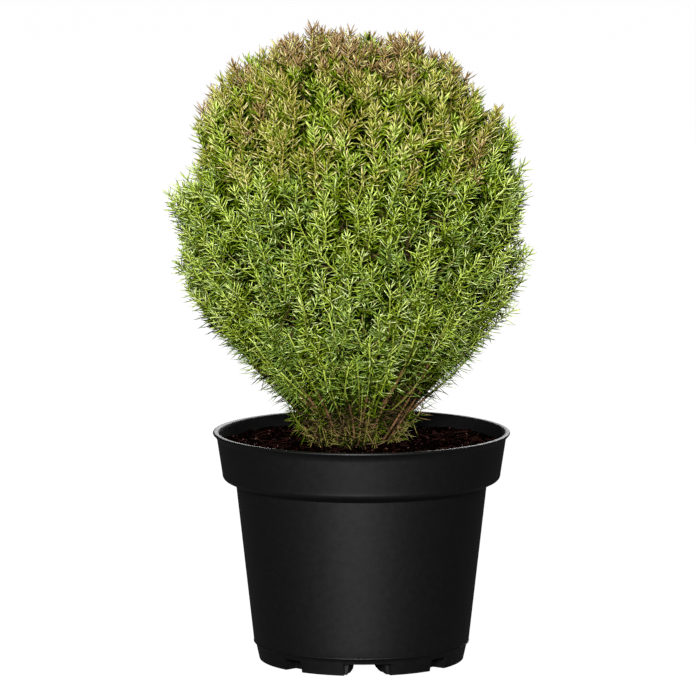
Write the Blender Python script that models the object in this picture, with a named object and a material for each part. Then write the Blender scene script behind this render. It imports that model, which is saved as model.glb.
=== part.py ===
"""A globe-shaped dwarf conifer with soft needles, standing in a round black nursery pot of substrate.

Metres, +Z up. The origin is the middle of the pot's underside, and the plant is seen from -Y.
"""

import math
import random
from collections import namedtuple

import bmesh
import bpy
import numpy as np
from mathutils import Matrix, Vector
from mathutils.bvhtree import BVHTree

UPRIGHT = Vector((0.0, 0.0, 1.0))

# Clear space between solids that touch on the real plant
TOUCH = 0.0003

# Pot: a three litre container, 190 mm over its lip
POT_HEIGHT = 0.147
POT_SEGMENTS = 48
WALL = 0.0016
LIP_RADIUS = 0.095
BAND_TOP_RADIUS = 0.0925
BAND_FOOT_RADIUS = 0.0890
BAND_FOOT_HEIGHT = 0.1185
BODY_TOP_RADIUS = 0.0801
BODY_TOP_HEIGHT = 0.1108
BODY_FOOT_RADIUS = 0.0690
FOOT_RING_HEIGHT = 0.0112
FOOT_RING_LEDGE = 0.0016
FOOT_RING_RADIUS = 0.0676
FOOT_RADIUS = 0.0656
LIP_UNDERSIDE = POT_HEIGHT - 0.0042
LIP_ROUNDING = 0.0014
BAND_ROUNDING = 0.0030
SHELF_RISE = 0.0011

# Underside: seven pads between seven drain channels, round a middle pad
PADS = 7
CHANNEL_TURN = math.radians(3.15)
CHANNEL_HEIGHT = 0.0074
CHANNEL_FOOT_WIDTH = 0.0250
CHANNEL_TOP_WIDTH = 0.0115
CHANNEL_SHOULDER_WIDTH = 0.0176
CHANNEL_SHOULDER_HEIGHT = 0.0050
CHANNEL_LIP_HEIGHT = 0.0008
NOTCH_WIDTH = 0.0298
NOTCH_HEIGHT = 0.0077
NOTCH_DEPTH = 0.0036
CUT_PAST = 0.0020
MIDDLE_PAD = 0.020
FLOOR_TOP = 0.0092
DRAIN_RADIUS = 0.0040
DRAIN_PLACE = 0.048

# Substrate
SOIL_EDGE_HEIGHT = 0.1385
SOIL_MIDDLE_HEIGHT = 0.1402
SOIL_SEAT_RADIUS = 0.016
SOIL_RINGS = 4
SOIL_LUMP = 0.0011
SOIL_SEED = 7

# Crown outline, about an axis a little to the left of the pot's
CROWN_AXIS = Vector((-0.0078, 0.0, 0.0))
CROWN_LEAN = -0.0010
CROWN_TOP = 0.4085
CROWN_FOOT = 0.1430
WAIST_HEIGHT = 0.2720
WAIST_RADIUS = 0.1130
FOOT_SPREAD = 0.0240
SHOULDER_POWER = 2.3
SKIRT_POWER = 1.75
LUMP = 0.022

# Tufts and hollows seen on the outline: azimuth in degrees, height, how far out or in, and height spread
BUMPS = (
    (180, 0.294, 0.0070, 0.008),
    (180, 0.330, -0.0060, 0.015),
    (180, 0.364, 0.0050, 0.008),
    (180, 0.240, 0.0040, 0.010),
    (0, 0.342, 0.0070, 0.007),
    (0, 0.363, -0.0050, 0.007),
    (0, 0.262, 0.0050, 0.009),
    (0, 0.238, -0.0050, 0.006),
    (0, 0.226, 0.0070, 0.005),
)
BUMP_SPREAD = math.radians(30)

# Trunk: a root flare at the substrate, a straight taper, and a slight sway
FLARE_RADIUS = 0.0085
FLARE_HEIGHT = 0.012
TRUNK_RADIUS = 0.0058
TRUNK_TIP_RADIUS = 0.0016
TRUNK_TIP_HEIGHT = 0.3270
TRUNK_SIDES = 12
SWAY = Vector((0.0018, -0.0013, 0.0))
SWAY_PER_METRE = 34.0

# Boughs leave the trunk at about 45 degrees and end on the stems of the masses
BOUGH_BASE_RADIUS = 0.0022
BOUGH_TIP_RADIUS = 0.0012
BOUGH_POINTS = 6
BOUGH_EASE = 0.30
BOUGH_ROOM = 0.0060
SEATING_STEPS = 3
STEM_LENGTH = 0.026

# Masses: the gap between two, the room left about the trunk, and the dense core's place in each
CELL_GAP = 0.0012
INNER_FACE = 0.020
FOOT_ROOM = 0.012
CORE_DEPTH = 0.0150
FOOT_CORE_DEPTH = 0.0080
CORE_LIMIT = 0.060
CORE_MARGIN = 0.0015
CORE_WELD = 0.0015
CORE_RISE = 0.3

# Shoots, which fan out from a point below the crown, and the needles drawn out of their sides
SHOOTS = 205
SEED = 1907
FAN_CENTRE = Vector((-0.0045, 0.0, 0.100))
FOOT_FAN_CENTRE = Vector((-0.0078, 0.0, 0.128))
SHOOT_LEANS = (0.55, 0.30, 0.0)
SHOOT_LENGTH = 0.027
SHOOT_RADIUS = 0.0017
SHOOT_END_RADIUS = 0.0014
ROOT_DEPTH = 0.005
TWIST = math.radians(25)
NEEDLE_REACH = 0.0105
NEEDLE_RISE = 0.0060
NEEDLE_SHARES = (1.0, 0.8, 0.6, 0.4, 0.2)
FOOT_SCALE = 0.58

# A ring of masses: its seats' height and distance from the crown's axis, the first one's azimuth in
# degrees, and how far they stray from even places (radians, metres). Its boughs leave the trunk at
# leave, give or take leave_stray, and end pointing away from hub, a height on the axis.
Ring = namedtuple(
    "Ring", "name count height distance turn hub leave stray lift leave_stray"
)
RINGS = (
    Ring("top", 1, 0.355, 0.000, 0.0, 0.200, None, 0.0, 0.0, 0.0),
    Ring("upper", 6, 0.333, 0.062, 12.0, 0.190, 0.225, 0.09, 0.004, 0.005),
    Ring("middle", 8, 0.271, 0.083, 30.0, 0.165, 0.185, 0.09, 0.004, 0.005),
    Ring("lower", 7, 0.212, 0.064, 5.0, 0.140, 0.162, 0.09, 0.004, 0.005),
    Ring("foot", 5, 0.160, 0.033, 54.0, 0.140, 0.1475, 0.09, 0.0, 0.0),
)

FOLIAGE_GREEN = (0.19, 0.33, 0.05)
TIP_BRONZE = (0.33, 0.24, 0.09)
BARK_BROWN = (0.16, 0.085, 0.045)
POT_BLACK = (0.018, 0.018, 0.018)
SOIL_BROWN = (0.035, 0.020, 0.014)


def clear_scene():
    for item in list(bpy.data.objects):
        bpy.data.objects.remove(item, do_unlink=True)


def material(name, colour, roughness):
    made = bpy.data.materials.new(name)
    made.use_nodes = True
    shader = made.node_tree.nodes["Principled BSDF"]
    shader.inputs["Base Color"].default_value = (*colour, 1.0)
    shader.inputs["Roughness"].default_value = roughness
    shader.inputs["Metallic"].default_value = 0.0
    return made


def placed(name, bm, finish=None):
    """The bmesh as an object of that name, its faces pointing out."""
    bmesh.ops.recalc_face_normals(bm, faces=bm.faces)
    mesh = bpy.data.meshes.new(name)
    bm.to_mesh(mesh)
    bm.free()
    item = bpy.data.objects.new(name, mesh)
    bpy.context.scene.collection.objects.link(item)
    if finish:
        mesh.materials.append(finish)
    return item


def shade_round(item, degrees=35.0):
    item.data.shade_smooth()
    item.data.set_sharp_from_angle(angle=math.radians(degrees))


def apply_modifiers(item):
    """The object's evaluated mesh becomes its own, so that cutters and joined pieces can go."""
    graph = bpy.context.evaluated_depsgraph_get()
    mesh = bpy.data.meshes.new_from_object(item.evaluated_get(graph))
    item.modifiers.clear()
    item.data = mesh


def boolean(item, others, operation):
    """One Boolean of item with a collection of objects, which are removed afterwards."""
    group = bpy.data.collections.new(item.name + "_operands")
    bpy.context.scene.collection.children.link(group)
    for other in others:
        bpy.context.scene.collection.objects.unlink(other)
        group.objects.link(other)
    step = item.modifiers.new("join", "BOOLEAN")
    step.operation = operation
    step.solver = "EXACT"
    step.operand_type = "COLLECTION"
    step.collection = group
    bpy.context.view_layer.update()
    apply_modifiers(item)
    for other in others:
        bpy.data.objects.remove(other, do_unlink=True)
    bpy.data.collections.remove(group)


def keep_main_shell(item):
    """Leaves the largest connected shell: loose scraps go, and a hollow sealed by joining is filled."""
    bm = bmesh.new()
    bm.from_mesh(item.data)
    left = set(bm.faces)
    shells = []
    while left:
        shell, edge = set(), {next(iter(left))}
        while edge:
            shell |= edge
            edge = {
                other
                for face in edge
                for side in face.edges
                if len(side.link_faces) == 2
                for other in side.link_faces
            } - shell
        left -= shell
        shells.append(shell)
    shells.sort(key=len)
    scraps = [face for shell in shells[:-1] for face in shell]
    bmesh.ops.delete(bm, geom=scraps, context="FACES")
    bm.to_mesh(item.data)
    bm.free()


def turned(name, profile, segments, finish):
    """A profile of (radius, height) points, which starts and ends on the axis, spun once round it."""
    bm = bmesh.new()
    points = [bm.verts.new((radius, 0.0, height)) for radius, height in profile]
    edges = [bm.edges.new(pair) for pair in zip(points, points[1:])]
    bmesh.ops.spin(
        bm,
        geom=points + edges,
        cent=(0, 0, 0),
        axis=(0, 0, 1),
        angle=math.tau,
        steps=segments,
        use_merge=False,
        use_duplicate=False,
    )
    bmesh.ops.remove_doubles(bm, verts=bm.verts, dist=1e-6)
    return placed(name, bm, finish)


def extruded_outline(name, outline, depth):
    """A prism: the outline of (across, up) points in the YZ plane, extruded along +X by depth."""
    bm = bmesh.new()
    face = bm.faces.new([bm.verts.new((0.0, across, up)) for across, up in outline])
    grown = bmesh.ops.extrude_face_region(bm, geom=[face])
    moved = [part for part in grown["geom"] if isinstance(part, bmesh.types.BMVert)]
    bmesh.ops.translate(bm, vec=(depth, 0, 0), verts=moved)
    return placed(name, bm)


def arc(centre, radius, start, end, steps):
    """Points on an arc in the profile's plane, from one angle in degrees to another."""
    angles = np.radians(np.linspace(start, end, steps))
    return [
        (centre[0] + radius * math.cos(a), centre[1] + radius * math.sin(a))
        for a in angles
    ]


def pot_outer():
    """The pot's outside, from the foot's edge up to the lip."""
    band_corner = (BAND_FOOT_RADIUS - BAND_ROUNDING, BAND_FOOT_HEIGHT)
    lip_corner = (LIP_RADIUS - LIP_ROUNDING, POT_HEIGHT - LIP_ROUNDING)
    return [
        (FOOT_RADIUS, 0.0),
        (FOOT_RING_RADIUS, FOOT_RING_HEIGHT - FOOT_RING_LEDGE),
        (BODY_FOOT_RADIUS, FOOT_RING_HEIGHT),
        (BODY_TOP_RADIUS, BODY_TOP_HEIGHT),
        *arc(band_corner, BAND_ROUNDING, -60, 0, 3),
        (BAND_TOP_RADIUS, LIP_UNDERSIDE),
        *arc(lip_corner, LIP_ROUNDING, -60, 90, 4),
    ]


def pot_inner():
    """The pot's inside, from the lip down to the floor."""
    return [
        (BAND_TOP_RADIUS - WALL / 2, POT_HEIGHT - LIP_ROUNDING / 4),
        (BAND_TOP_RADIUS - WALL, LIP_UNDERSIDE),
        (BAND_FOOT_RADIUS - WALL, BAND_FOOT_HEIGHT + SHELF_RISE),
        (BODY_TOP_RADIUS - WALL, BODY_TOP_HEIGHT + SHELF_RISE),
        (BODY_FOOT_RADIUS - WALL, FLOOR_TOP),
    ]


def around(place, turn, item):
    """Puts an object built along +X at that distance from the axis, turned about it."""
    item.matrix_world = Matrix.Rotation(turn, 4, "Z") @ Matrix.Translation(
        (place, 0, 0)
    )


def arch(*half_widths_and_heights):
    """A closed outline that is the same on both sides, from half its points, the lowest first."""
    right = list(half_widths_and_heights)
    left = [(-across, up) for across, up in reversed(right)]
    return right + left


def make_pot(finish):
    """The thin-walled pot, its underside cut by drain channels, notches and holes."""
    profile = [(0.0, 0.0), *pot_outer(), *pot_inner(), (0.0, FLOOR_TOP)]
    pot = turned("pot", profile, POT_SEGMENTS, finish)
    channel = arch(
        (CHANNEL_FOOT_WIDTH / 2, -CUT_PAST),
        (CHANNEL_FOOT_WIDTH / 2, CHANNEL_LIP_HEIGHT),
        (CHANNEL_SHOULDER_WIDTH / 2, CHANNEL_SHOULDER_HEIGHT),
        (CHANNEL_TOP_WIDTH / 2, CHANNEL_HEIGHT),
    )
    notch = arch((NOTCH_WIDTH / 2, -CUT_PAST), (NOTCH_WIDTH / 2, NOTCH_HEIGHT))
    cutters = []
    for number in range(PADS):
        turn = CHANNEL_TURN - math.pi / 2 + number * math.tau / PADS
        run = extruded_outline(f"channel_{number}", channel, FOOT_RADIUS - MIDDLE_PAD)
        around(MIDDLE_PAD, turn, run)
        gate = extruded_outline(f"notch_{number}", notch, BODY_FOOT_RADIUS)
        around(FOOT_RADIUS - NOTCH_DEPTH, turn, gate)
        bm = bmesh.new()
        bmesh.ops.create_cone(
            bm,
            cap_ends=True,
            segments=8,
            radius1=DRAIN_RADIUS,
            radius2=DRAIN_RADIUS,
            depth=2 * (FLOOR_TOP + CUT_PAST),
        )
        drain = placed(f"drain_{number}", bm)
        around(DRAIN_PLACE, turn, drain)
        cutters += [run, gate, drain]
    boolean(pot, cutters, "DIFFERENCE")
    shade_round(pot)
    return pot


def make_soil(finish):
    """The substrate that fills the pot, 0.3 mm clear of its wall, with an uneven top and a flat seat."""
    seeded = random.Random(SOIL_SEED)
    wall = [(radius - TOUCH, height) for radius, height in reversed(pot_inner()[1:])]
    share = (SOIL_EDGE_HEIGHT - wall[-2][1]) / (wall[-1][1] - wall[-2][1])
    edge = wall[-2][0] + share * (wall[-1][0] - wall[-2][0])
    side = [(wall[0][0], FLOOR_TOP + TOUCH), *wall[1:-1], (edge, SOIL_EDGE_HEIGHT)]
    top = []
    for ring in range(1, SOIL_RINGS + 1):
        share = ring / SOIL_RINGS
        radius = edge + share * (SOIL_SEAT_RADIUS - edge)
        height = SOIL_EDGE_HEIGHT + share * (SOIL_MIDDLE_HEIGHT - SOIL_EDGE_HEIGHT)
        top.append((radius, height))
    profile = [
        (0.0, FLOOR_TOP + TOUCH),
        *side,
        *top,
        (0.0, SOIL_MIDDLE_HEIGHT),
    ]
    soil = turned("soil", profile, POT_SEGMENTS // 2, finish)
    for vertex in soil.data.vertices:
        radius = math.hypot(vertex.co.x, vertex.co.y)
        on_top = vertex.co.z > (SOIL_EDGE_HEIGHT + BODY_TOP_HEIGHT) / 2
        if on_top and SOIL_SEAT_RADIUS + WALL < radius < edge - WALL:
            vertex.co.z += seeded.uniform(-SOIL_LUMP, SOIL_LUMP)
    return soil


def lumps(azimuth, height):
    """How far the outline stands out or in, in metres."""
    level = height / WAIST_HEIGHT
    swell = (
        0.50 * math.sin(3 * azimuth + 9.0 * level)
        + 0.35 * math.sin(5 * azimuth - 14.0 * level + 1.3)
        + 0.35 * math.sin(8 * azimuth + 21.0 * level + 0.4)
    )
    out = LUMP * swell * outline_radius(height)
    for degrees, middle, amount, spread in BUMPS:
        turn = math.remainder(azimuth - math.radians(degrees), math.tau)
        far = (turn / BUMP_SPREAD) ** 2 + ((height - middle) / spread) ** 2
        out += amount * math.exp(-far)
    return out


def outline_radius(height):
    """The crown's radius: a superellipse above the waist and a power curve below it."""
    if height >= WAIST_HEIGHT:
        rise = min((height - WAIST_HEIGHT) / (CROWN_TOP - WAIST_HEIGHT), 1.0)
        return WAIST_RADIUS * (1 - rise**SHOULDER_POWER) ** (1 / SHOULDER_POWER)
    drop = (WAIST_HEIGHT - height) / (WAIST_HEIGHT - CROWN_FOOT)
    return WAIST_RADIUS - (WAIST_RADIUS - FOOT_SPREAD) * drop**SKIRT_POWER


def axis_at(height):
    """The crown's middle at a height: it leans a little to the left towards its top."""
    rise = (height - CROWN_FOOT) / (CROWN_TOP - CROWN_FOOT)
    return CROWN_AXIS + Vector((CROWN_LEAN * rise, 0, height))


def surface_point(azimuth, height, inset=0.0):
    """A point on the outline, or inset metres inside it."""
    radius = outline_radius(height) + lumps(azimuth, height) - inset
    middle = axis_at(height)
    return middle + Vector(
        (radius * math.cos(azimuth), radius * math.sin(azimuth), 0)
    )


def within(point, inset):
    """Whether a point lies at least about inset metres inside the outline."""
    if not CROWN_FOOT + CORE_RISE * inset < point.z < CROWN_TOP - inset:
        return False
    offset = point - axis_at(point.z)
    azimuth = math.atan2(offset.y, offset.x)
    shoulder = CROWN_TOP - WAIST_HEIGHT
    stretch = shoulder / (shoulder - inset) if point.z > WAIST_HEIGHT else 1.0
    height = WAIST_HEIGHT + (point.z - WAIST_HEIGHT) * stretch
    limit = outline_radius(height) + lumps(azimuth, point.z) - inset
    return math.hypot(offset.x, offset.y) < limit


def trunk_radius(height):
    """A root flare at the soil, then a straight taper to the leader's tip."""
    above = height - SOIL_MIDDLE_HEIGHT
    rise = above / (TRUNK_TIP_HEIGHT - SOIL_MIDDLE_HEIGHT)
    taper = TRUNK_RADIUS + (TRUNK_TIP_RADIUS - TRUNK_RADIUS) * rise
    flare = max(0.0, 1 - above / FLARE_HEIGHT) ** 2
    return taper + (FLARE_RADIUS - TRUNK_RADIUS) * flare


def off_trunk(skin, height, level, along, radius):
    """Where a limb that leaves level outwards starts: its end's inner corner 0.3 mm off the bark."""
    corner = radius * (UPRIGHT - along * along.z).normalized()
    outside = trunk_middle(height + corner.z) + level * 2 * FLARE_RADIUS
    bark = skin.ray_cast(outside, -level)[0]
    return bark + level * TOUCH - corner


def trunk_middle(height):
    """The trunk's axis: it follows the crown's lean with a slight sway."""
    return axis_at(height) + SWAY * math.sin(
        (height - SOIL_MIDDLE_HEIGHT) * SWAY_PER_METRE
    )


class Cell:
    """The space of one mass: the places nearer to its seat than to any other, outside the boughs' room."""

    def __init__(self, ring, number):
        azimuth = math.radians(ring.turn) + number * math.tau / ring.count
        azimuth += ring.stray * math.sin(5.1 * number + 40 * ring.height)
        lift = ring.lift * math.sin(3.7 * number + 25 * ring.height)
        self.ring = ring
        self.name = f"{ring.name}_{number + 1}" if ring.count > 1 else ring.name
        self.level = Vector((math.cos(azimuth), math.sin(azimuth), 0))
        self.seat = axis_at(ring.height + lift) + ring.distance * self.level
        self.outward = (self.seat - axis_at(ring.hub)).normalized()
        self.stem_end = self.seat - self.outward * STEM_LENGTH
        self.planes = []
        if ring.leave:
            self.leave = ring.leave + ring.leave_stray * math.sin(2.4 * number)

    @property
    def at_foot(self):
        return self.ring.name == "foot"

    def meet_trunk(self, skin):
        """The stem of a mass at the foot runs to the trunk's side, with no bough between."""
        along = (self.seat - trunk_middle(self.leave)).normalized()
        self.stem_end = off_trunk(
            skin, self.leave, self.level, along, BOUGH_TIP_RADIUS
        )

    def add_plane(self, normal, point):
        """The cell keeps to the side that normal points to."""
        self.planes.append((normal.normalized(), normal.normalized().dot(point)))

    def bound(self, others, ring_above):
        """Planes halfway to each other seat, then those that keep the room for boughs free."""
        for other in others:
            if other is not self:
                between = self.seat - other.seat
                gap = between.normalized() * (CELL_GAP / 2)
                self.add_plane(between, (self.seat + other.seat) / 2 + gap)
        if self.at_foot:
            self.add_plane(self.level, axis_at(self.seat.z) + self.level * FOOT_ROOM)
            self.add_plane(UPRIGHT, Vector((0, 0, CROWN_FOOT)))
        elif self.ring.distance:
            facing = (self.outward + self.level).normalized()
            self.add_plane(facing, self.seat - facing * INNER_FACE)
        else:
            self.add_plane(self.outward, self.seat - self.outward * INNER_FACE)
        if ring_above and ring_above.leave:
            start, end = bough_line(ring_above)
            along = self.level * (end[0] - start[0]) + UPRIGHT * (end[1] - start[1])
            below = self.level * along.z - UPRIGHT * along.dot(self.level)
            on_line = axis_at(start[1]) + self.level * start[0]
            self.add_plane(below, on_line + below.normalized() * BOUGH_ROOM)

    def holds(self, point):
        return all(normal.dot(point) >= offset for normal, offset in self.planes)


def bough_line(ring):
    """The (distance, height) pairs of a ring's lowest bough at the trunk's side and at its stem."""
    out = Vector((ring.distance, 0, ring.height - ring.hub)).normalized() * STEM_LENGTH
    start = (TRUNK_RADIUS, ring.leave - 2 * ring.leave_stray)
    return start, (ring.distance - out.x, ring.height - out.z)


def make_cells():
    cells = [Cell(ring, number) for ring in RINGS for number in range(ring.count)]
    above = dict(zip(RINGS[1:], RINGS))
    for cell in cells:
        cell.bound(cells, above.get(cell.ring))
    return cells


def ring_frames(path, reference):
    """Two unit vectors square to the path at each of its points, turning as little as they can."""
    frames = []
    side = reference
    for number in range(len(path)):
        before = path[max(number - 1, 0)]
        after = path[min(number + 1, len(path) - 1)]
        along = (after - before).normalized()
        side = (side - along * side.dot(along)).normalized()
        frames.append((side, along.cross(side)))
    return frames


def skin_of(item):
    """The object's faces, for rays to be cast at."""
    return BVHTree.FromPolygons(
        [vertex.co for vertex in item.data.vertices],
        [list(face.vertices) for face in item.data.polygons],
    )


def ring_of(bm, point, radius, frame, sides, turn=0.0):
    side, other = frame
    angles = [math.tau * corner / sides + turn for corner in range(sides)]
    return [
        bm.verts.new(point + radius * (math.cos(a) * side + math.sin(a) * other))
        for a in angles
    ]


def tube_between(bm, lower, upper):
    """The side faces between two rings of as many corners."""
    sides = len(lower)
    return [
        bm.faces.new(
            (
                lower[corner],
                lower[(corner + 1) % sides],
                upper[(corner + 1) % sides],
                upper[corner],
            )
        )
        for corner in range(sides)
    ]


def limb(name, path, radii, finish, sides=4):
    """A tapering limb: a polygon swept along the path, closed at both ends."""
    bm = bmesh.new()
    along = path[-1] - path[0]
    level = Vector((-along.y, along.x, 0)) or Vector((1, 0, 0))
    frames = ring_frames(path, level)
    rings = [
        ring_of(bm, point, radius, frame, sides)
        for point, radius, frame in zip(path, radii, frames)
    ]
    bm.faces.new(rings[0])
    bm.faces.new(rings[-1])
    for lower, upper in zip(rings, rings[1:]):
        tube_between(bm, lower, upper)
    return placed(name, bm, finish)


def make_trunk(finish, top):
    """The root collar and the leader above it, cut flat where it stands on the substrate."""
    base = SOIL_MIDDLE_HEIGHT + TOUCH
    heights = [base, base + FLARE_HEIGHT / 3, base + FLARE_HEIGHT * 0.75]
    heights += np.linspace(base + 1.5 * FLARE_HEIGHT, TRUNK_TIP_HEIGHT, 8).tolist()
    path = [trunk_middle(height) for height in heights]
    path[1].xy = path[0].xy
    path[-1] = top.stem_end - Vector((0, 0, TOUCH))
    radii = [trunk_radius(height) for height in heights]
    trunk = limb("trunk", path, radii, finish, TRUNK_SIDES)
    shade_round(trunk, 60)
    return trunk


def cubic(start, first, second, end, steps):
    """Points along a cubic curve that leaves start towards first and reaches end from second."""
    shares = [step / (steps - 1) for step in range(steps)]
    return [
        start * (1 - t) ** 3
        + first * (3 * t * (1 - t) ** 2)
        + second * (3 * t * t * (1 - t))
        + end * t**3
        for t in shares
    ]


def make_bough(cell, skin, finish):
    """A limb from the trunk's bark to the mass's stem, 0.3 mm clear of both."""
    end = cell.stem_end - cell.outward * TOUCH
    leaving = (cell.level + UPRIGHT).normalized()
    along = leaving
    for _ in range(SEATING_STEPS):
        start = off_trunk(skin, cell.leave, cell.level, along, BOUGH_BASE_RADIUS)
        ease = BOUGH_EASE * (end - start).length
        path = cubic(
            start, start + leaving * ease, end - cell.outward * ease, end, BOUGH_POINTS
        )
        along = (path[1] - path[0]).normalized()
    radii = np.linspace(BOUGH_BASE_RADIUS, BOUGH_TIP_RADIUS, BOUGH_POINTS).tolist()
    bough = limb(f"bough_{cell.name}", path, radii, finish)
    shade_round(bough, 80)
    return bough


def reach_inside(seat, direction, inset):
    """How far the crown goes from a seat in a direction, staying inset metres inside the outline."""
    near, far = 0.0, CORE_LIMIT
    for _ in range(12):
        middle = (near + far) / 2
        if within(seat + direction * middle, inset):
            near = middle
        else:
            far = middle
    return near


def make_core(cell, finish):
    """The dense middle of a mass: a ball drawn to the outline's inside, cut along the cell's planes."""
    bm = bmesh.new()
    bmesh.ops.create_icosphere(bm, subdivisions=2, radius=1.0)
    inset = FOOT_CORE_DEPTH if cell.at_foot else CORE_DEPTH
    for vertex in bm.verts:
        direction = vertex.co.normalized()
        vertex.co = cell.seat + direction * reach_inside(cell.seat, direction, inset)
    for normal, offset in cell.planes:
        bmesh.ops.bisect_plane(
            bm,
            geom=[*bm.verts, *bm.edges, *bm.faces],
            dist=1e-6,
            plane_co=normal * (offset + CORE_MARGIN),
            plane_no=normal,
            clear_inner=True,
        )
        rim = [edge for edge in bm.edges if edge.is_boundary]
        if rim:
            bmesh.ops.holes_fill(bm, edges=rim)
    bmesh.ops.remove_doubles(bm, verts=bm.verts, dist=CORE_WELD)
    bmesh.ops.triangulate(bm, faces=bm.faces)
    return placed(f"foliage_{cell.name}", bm, finish)


def shoot(name, path, cell, seeded):
    """A three-sided twig along the path, each of whose side faces is drawn out to a needle."""
    bm = bmesh.new()
    sides = 3
    scale = FOOT_SCALE if cell.at_foot else 1.0
    reach = NEEDLE_REACH * scale * seeded.uniform(0.85, 1.1)
    twist = seeded.uniform(-TWIST, TWIST)
    tip = bm.verts.new(path[-1])
    along = (path[-1] - path[-2]).normalized()
    roll = Matrix.Rotation(seeded.uniform(0, math.tau), 3, along)
    frames = ring_frames(path, roll @ along.orthogonal())
    radii = (SHOOT_RADIUS, SHOOT_END_RADIUS)
    lower, upper = (
        ring_of(bm, point, radius, frame, sides, number * twist)
        for number, (point, radius, frame) in enumerate(zip(path, radii, frames))
    )
    bm.faces.new(lower)
    faces = tube_between(bm, lower, upper)
    faces += [
        bm.faces.new((upper[corner], upper[(corner + 1) % sides], tip))
        for corner in range(sides)
    ]
    bmesh.ops.recalc_face_normals(bm, faces=bm.faces)
    for face in faces:
        stretch = reach * face.normal + NEEDLE_RISE * scale * along
        middle = face.calc_center_median()
        needle = bmesh.ops.poke(bm, faces=[face])["verts"][0]
        goals = [middle + share * stretch for share in NEEDLE_SHARES]
        needle.co = next((goal for goal in goals if cell.holds(goal)), goals[-1])
    if not all(cell.holds(vertex.co) for vertex in bm.verts):
        bm.free()
        return None
    return placed(name, bm)


def shoot_path(cell, skin, goal, lean, seeded):
    """From under the core's skin to a point on the outline, leaning that much into the crown's fan."""
    fan = (goal - (FOOT_FAN_CENTRE if cell.at_foot else FAN_CENTRE)).normalized()
    outward = (goal - cell.seat).normalized()
    lie = (fan * lean + outward * (1 - lean)).normalized()
    length = SHOOT_LENGTH * seeded.uniform(0.9, 1.1)
    if cell.at_foot:
        length *= FOOT_SCALE
    knee = goal - lie * length
    towards = (knee - cell.seat).normalized()
    hit = skin.ray_cast(cell.seat, towards)[0]
    root = min((knee - cell.seat).length, (hit - cell.seat).length - ROOT_DEPTH)
    return cell.seat + towards * root, goal - lie * (length / 2), goal


def shoot_goals(seeded):
    """Points spread evenly over the outline by area, on a golden-angle spiral."""
    levels = np.linspace(CROWN_FOOT, CROWN_TOP - TOUCH, 400)
    radii = np.array([outline_radius(level) for level in levels])
    band = np.hypot(np.diff(levels), np.diff(radii)) * (radii[1:] + radii[:-1])
    area = np.concatenate([[0.0], np.cumsum(band)])
    golden = math.pi * (3 - math.sqrt(5))
    goals = []
    for number in range(SHOOTS):
        share = (number + 0.5) / SHOOTS
        height = float(np.interp(share * area[-1], area, levels))
        azimuth = number * golden + seeded.uniform(-0.05, 0.05)
        goals.append(surface_point(azimuth, height, seeded.uniform(0.0, 0.0030)))
    goals[-1] = axis_at(CROWN_TOP)
    return goals


def make_mass(cell, goals, finish, seeded):
    """One mass of foliage: its core, the stem that meets its bough, and the shoots that stand out."""
    core = make_core(cell, finish)
    skin = skin_of(core)
    end, root = cell.stem_end, cell.seat
    radii = np.linspace(BOUGH_TIP_RADIUS, BOUGH_TIP_RADIUS * 0.8, 3).tolist()
    joined = [limb(f"stem_{cell.name}", [end, (end + root) / 2, root], radii, None)]
    for number, goal in enumerate(goals):
        name = f"shoot_{cell.name}_{number}"
        made = None
        for lean in SHOOT_LEANS:
            path = shoot_path(cell, skin, goal, lean, seeded)
            made = made or shoot(name, path, cell, seeded)
        if made:
            joined.append(made)
    boolean(core, joined, "UNION")
    keep_main_shell(core)
    return core


def main():
    clear_scene()
    seeded = random.Random(SEED)
    green = material("foliage", FOLIAGE_GREEN, 0.55)
    bronze = material("foliage_tips", TIP_BRONZE, 0.60)
    bark = material("bark", BARK_BROWN, 0.80)
    make_pot(material("pot_plastic", POT_BLACK, 0.42))
    make_soil(material("substrate", SOIL_BROWN, 0.95))
    cells = make_cells()
    skin = skin_of(make_trunk(bark, cells[0]))
    goals = {cell.name: [] for cell in cells}
    for goal in shoot_goals(seeded):
        home = min(cells, key=lambda cell: (cell.seat - goal).length)
        goals[home.name].append(goal)
    for cell in cells:
        if cell.at_foot:
            cell.meet_trunk(skin)
        elif cell.ring.distance:
            make_bough(cell, skin, bark)
        finish = bronze if cell.ring.name in ("top", "upper") else green
        make_mass(cell, goals[cell.name], finish, seeded)


main()
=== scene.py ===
"""Looks of a potted globe-shaped dwarf conifer: a black nursery pot, its substrate, the bark and the needles.

Metres, +Z up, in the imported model's frame. The origin is the middle of the pot's underside, and the
plant is seen from -Y. New pieces are surfaces worked out as whole arrays, and the sprays of needles grow
by the rule that the masses of foliage follow, carried on to finer twigs.
"""

from __future__ import annotations

import logging
import math
from collections.abc import Sequence
from dataclasses import dataclass, field
from enum import Enum
from typing import NamedTuple

import bpy
import numpy as np
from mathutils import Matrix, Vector


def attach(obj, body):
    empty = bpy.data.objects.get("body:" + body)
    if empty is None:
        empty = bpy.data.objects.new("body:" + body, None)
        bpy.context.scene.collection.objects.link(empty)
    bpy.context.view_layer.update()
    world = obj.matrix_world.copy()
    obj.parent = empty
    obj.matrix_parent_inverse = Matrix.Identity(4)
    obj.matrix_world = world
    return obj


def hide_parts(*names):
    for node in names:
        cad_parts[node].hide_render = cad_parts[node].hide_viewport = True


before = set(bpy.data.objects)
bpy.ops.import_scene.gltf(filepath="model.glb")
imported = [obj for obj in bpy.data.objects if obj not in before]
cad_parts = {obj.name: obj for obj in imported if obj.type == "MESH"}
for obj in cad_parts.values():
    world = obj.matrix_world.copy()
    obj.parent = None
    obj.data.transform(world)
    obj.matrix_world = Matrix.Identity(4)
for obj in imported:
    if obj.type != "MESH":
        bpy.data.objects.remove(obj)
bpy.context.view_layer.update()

LOG = logging.getLogger("dwarf_conifer")
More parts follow.
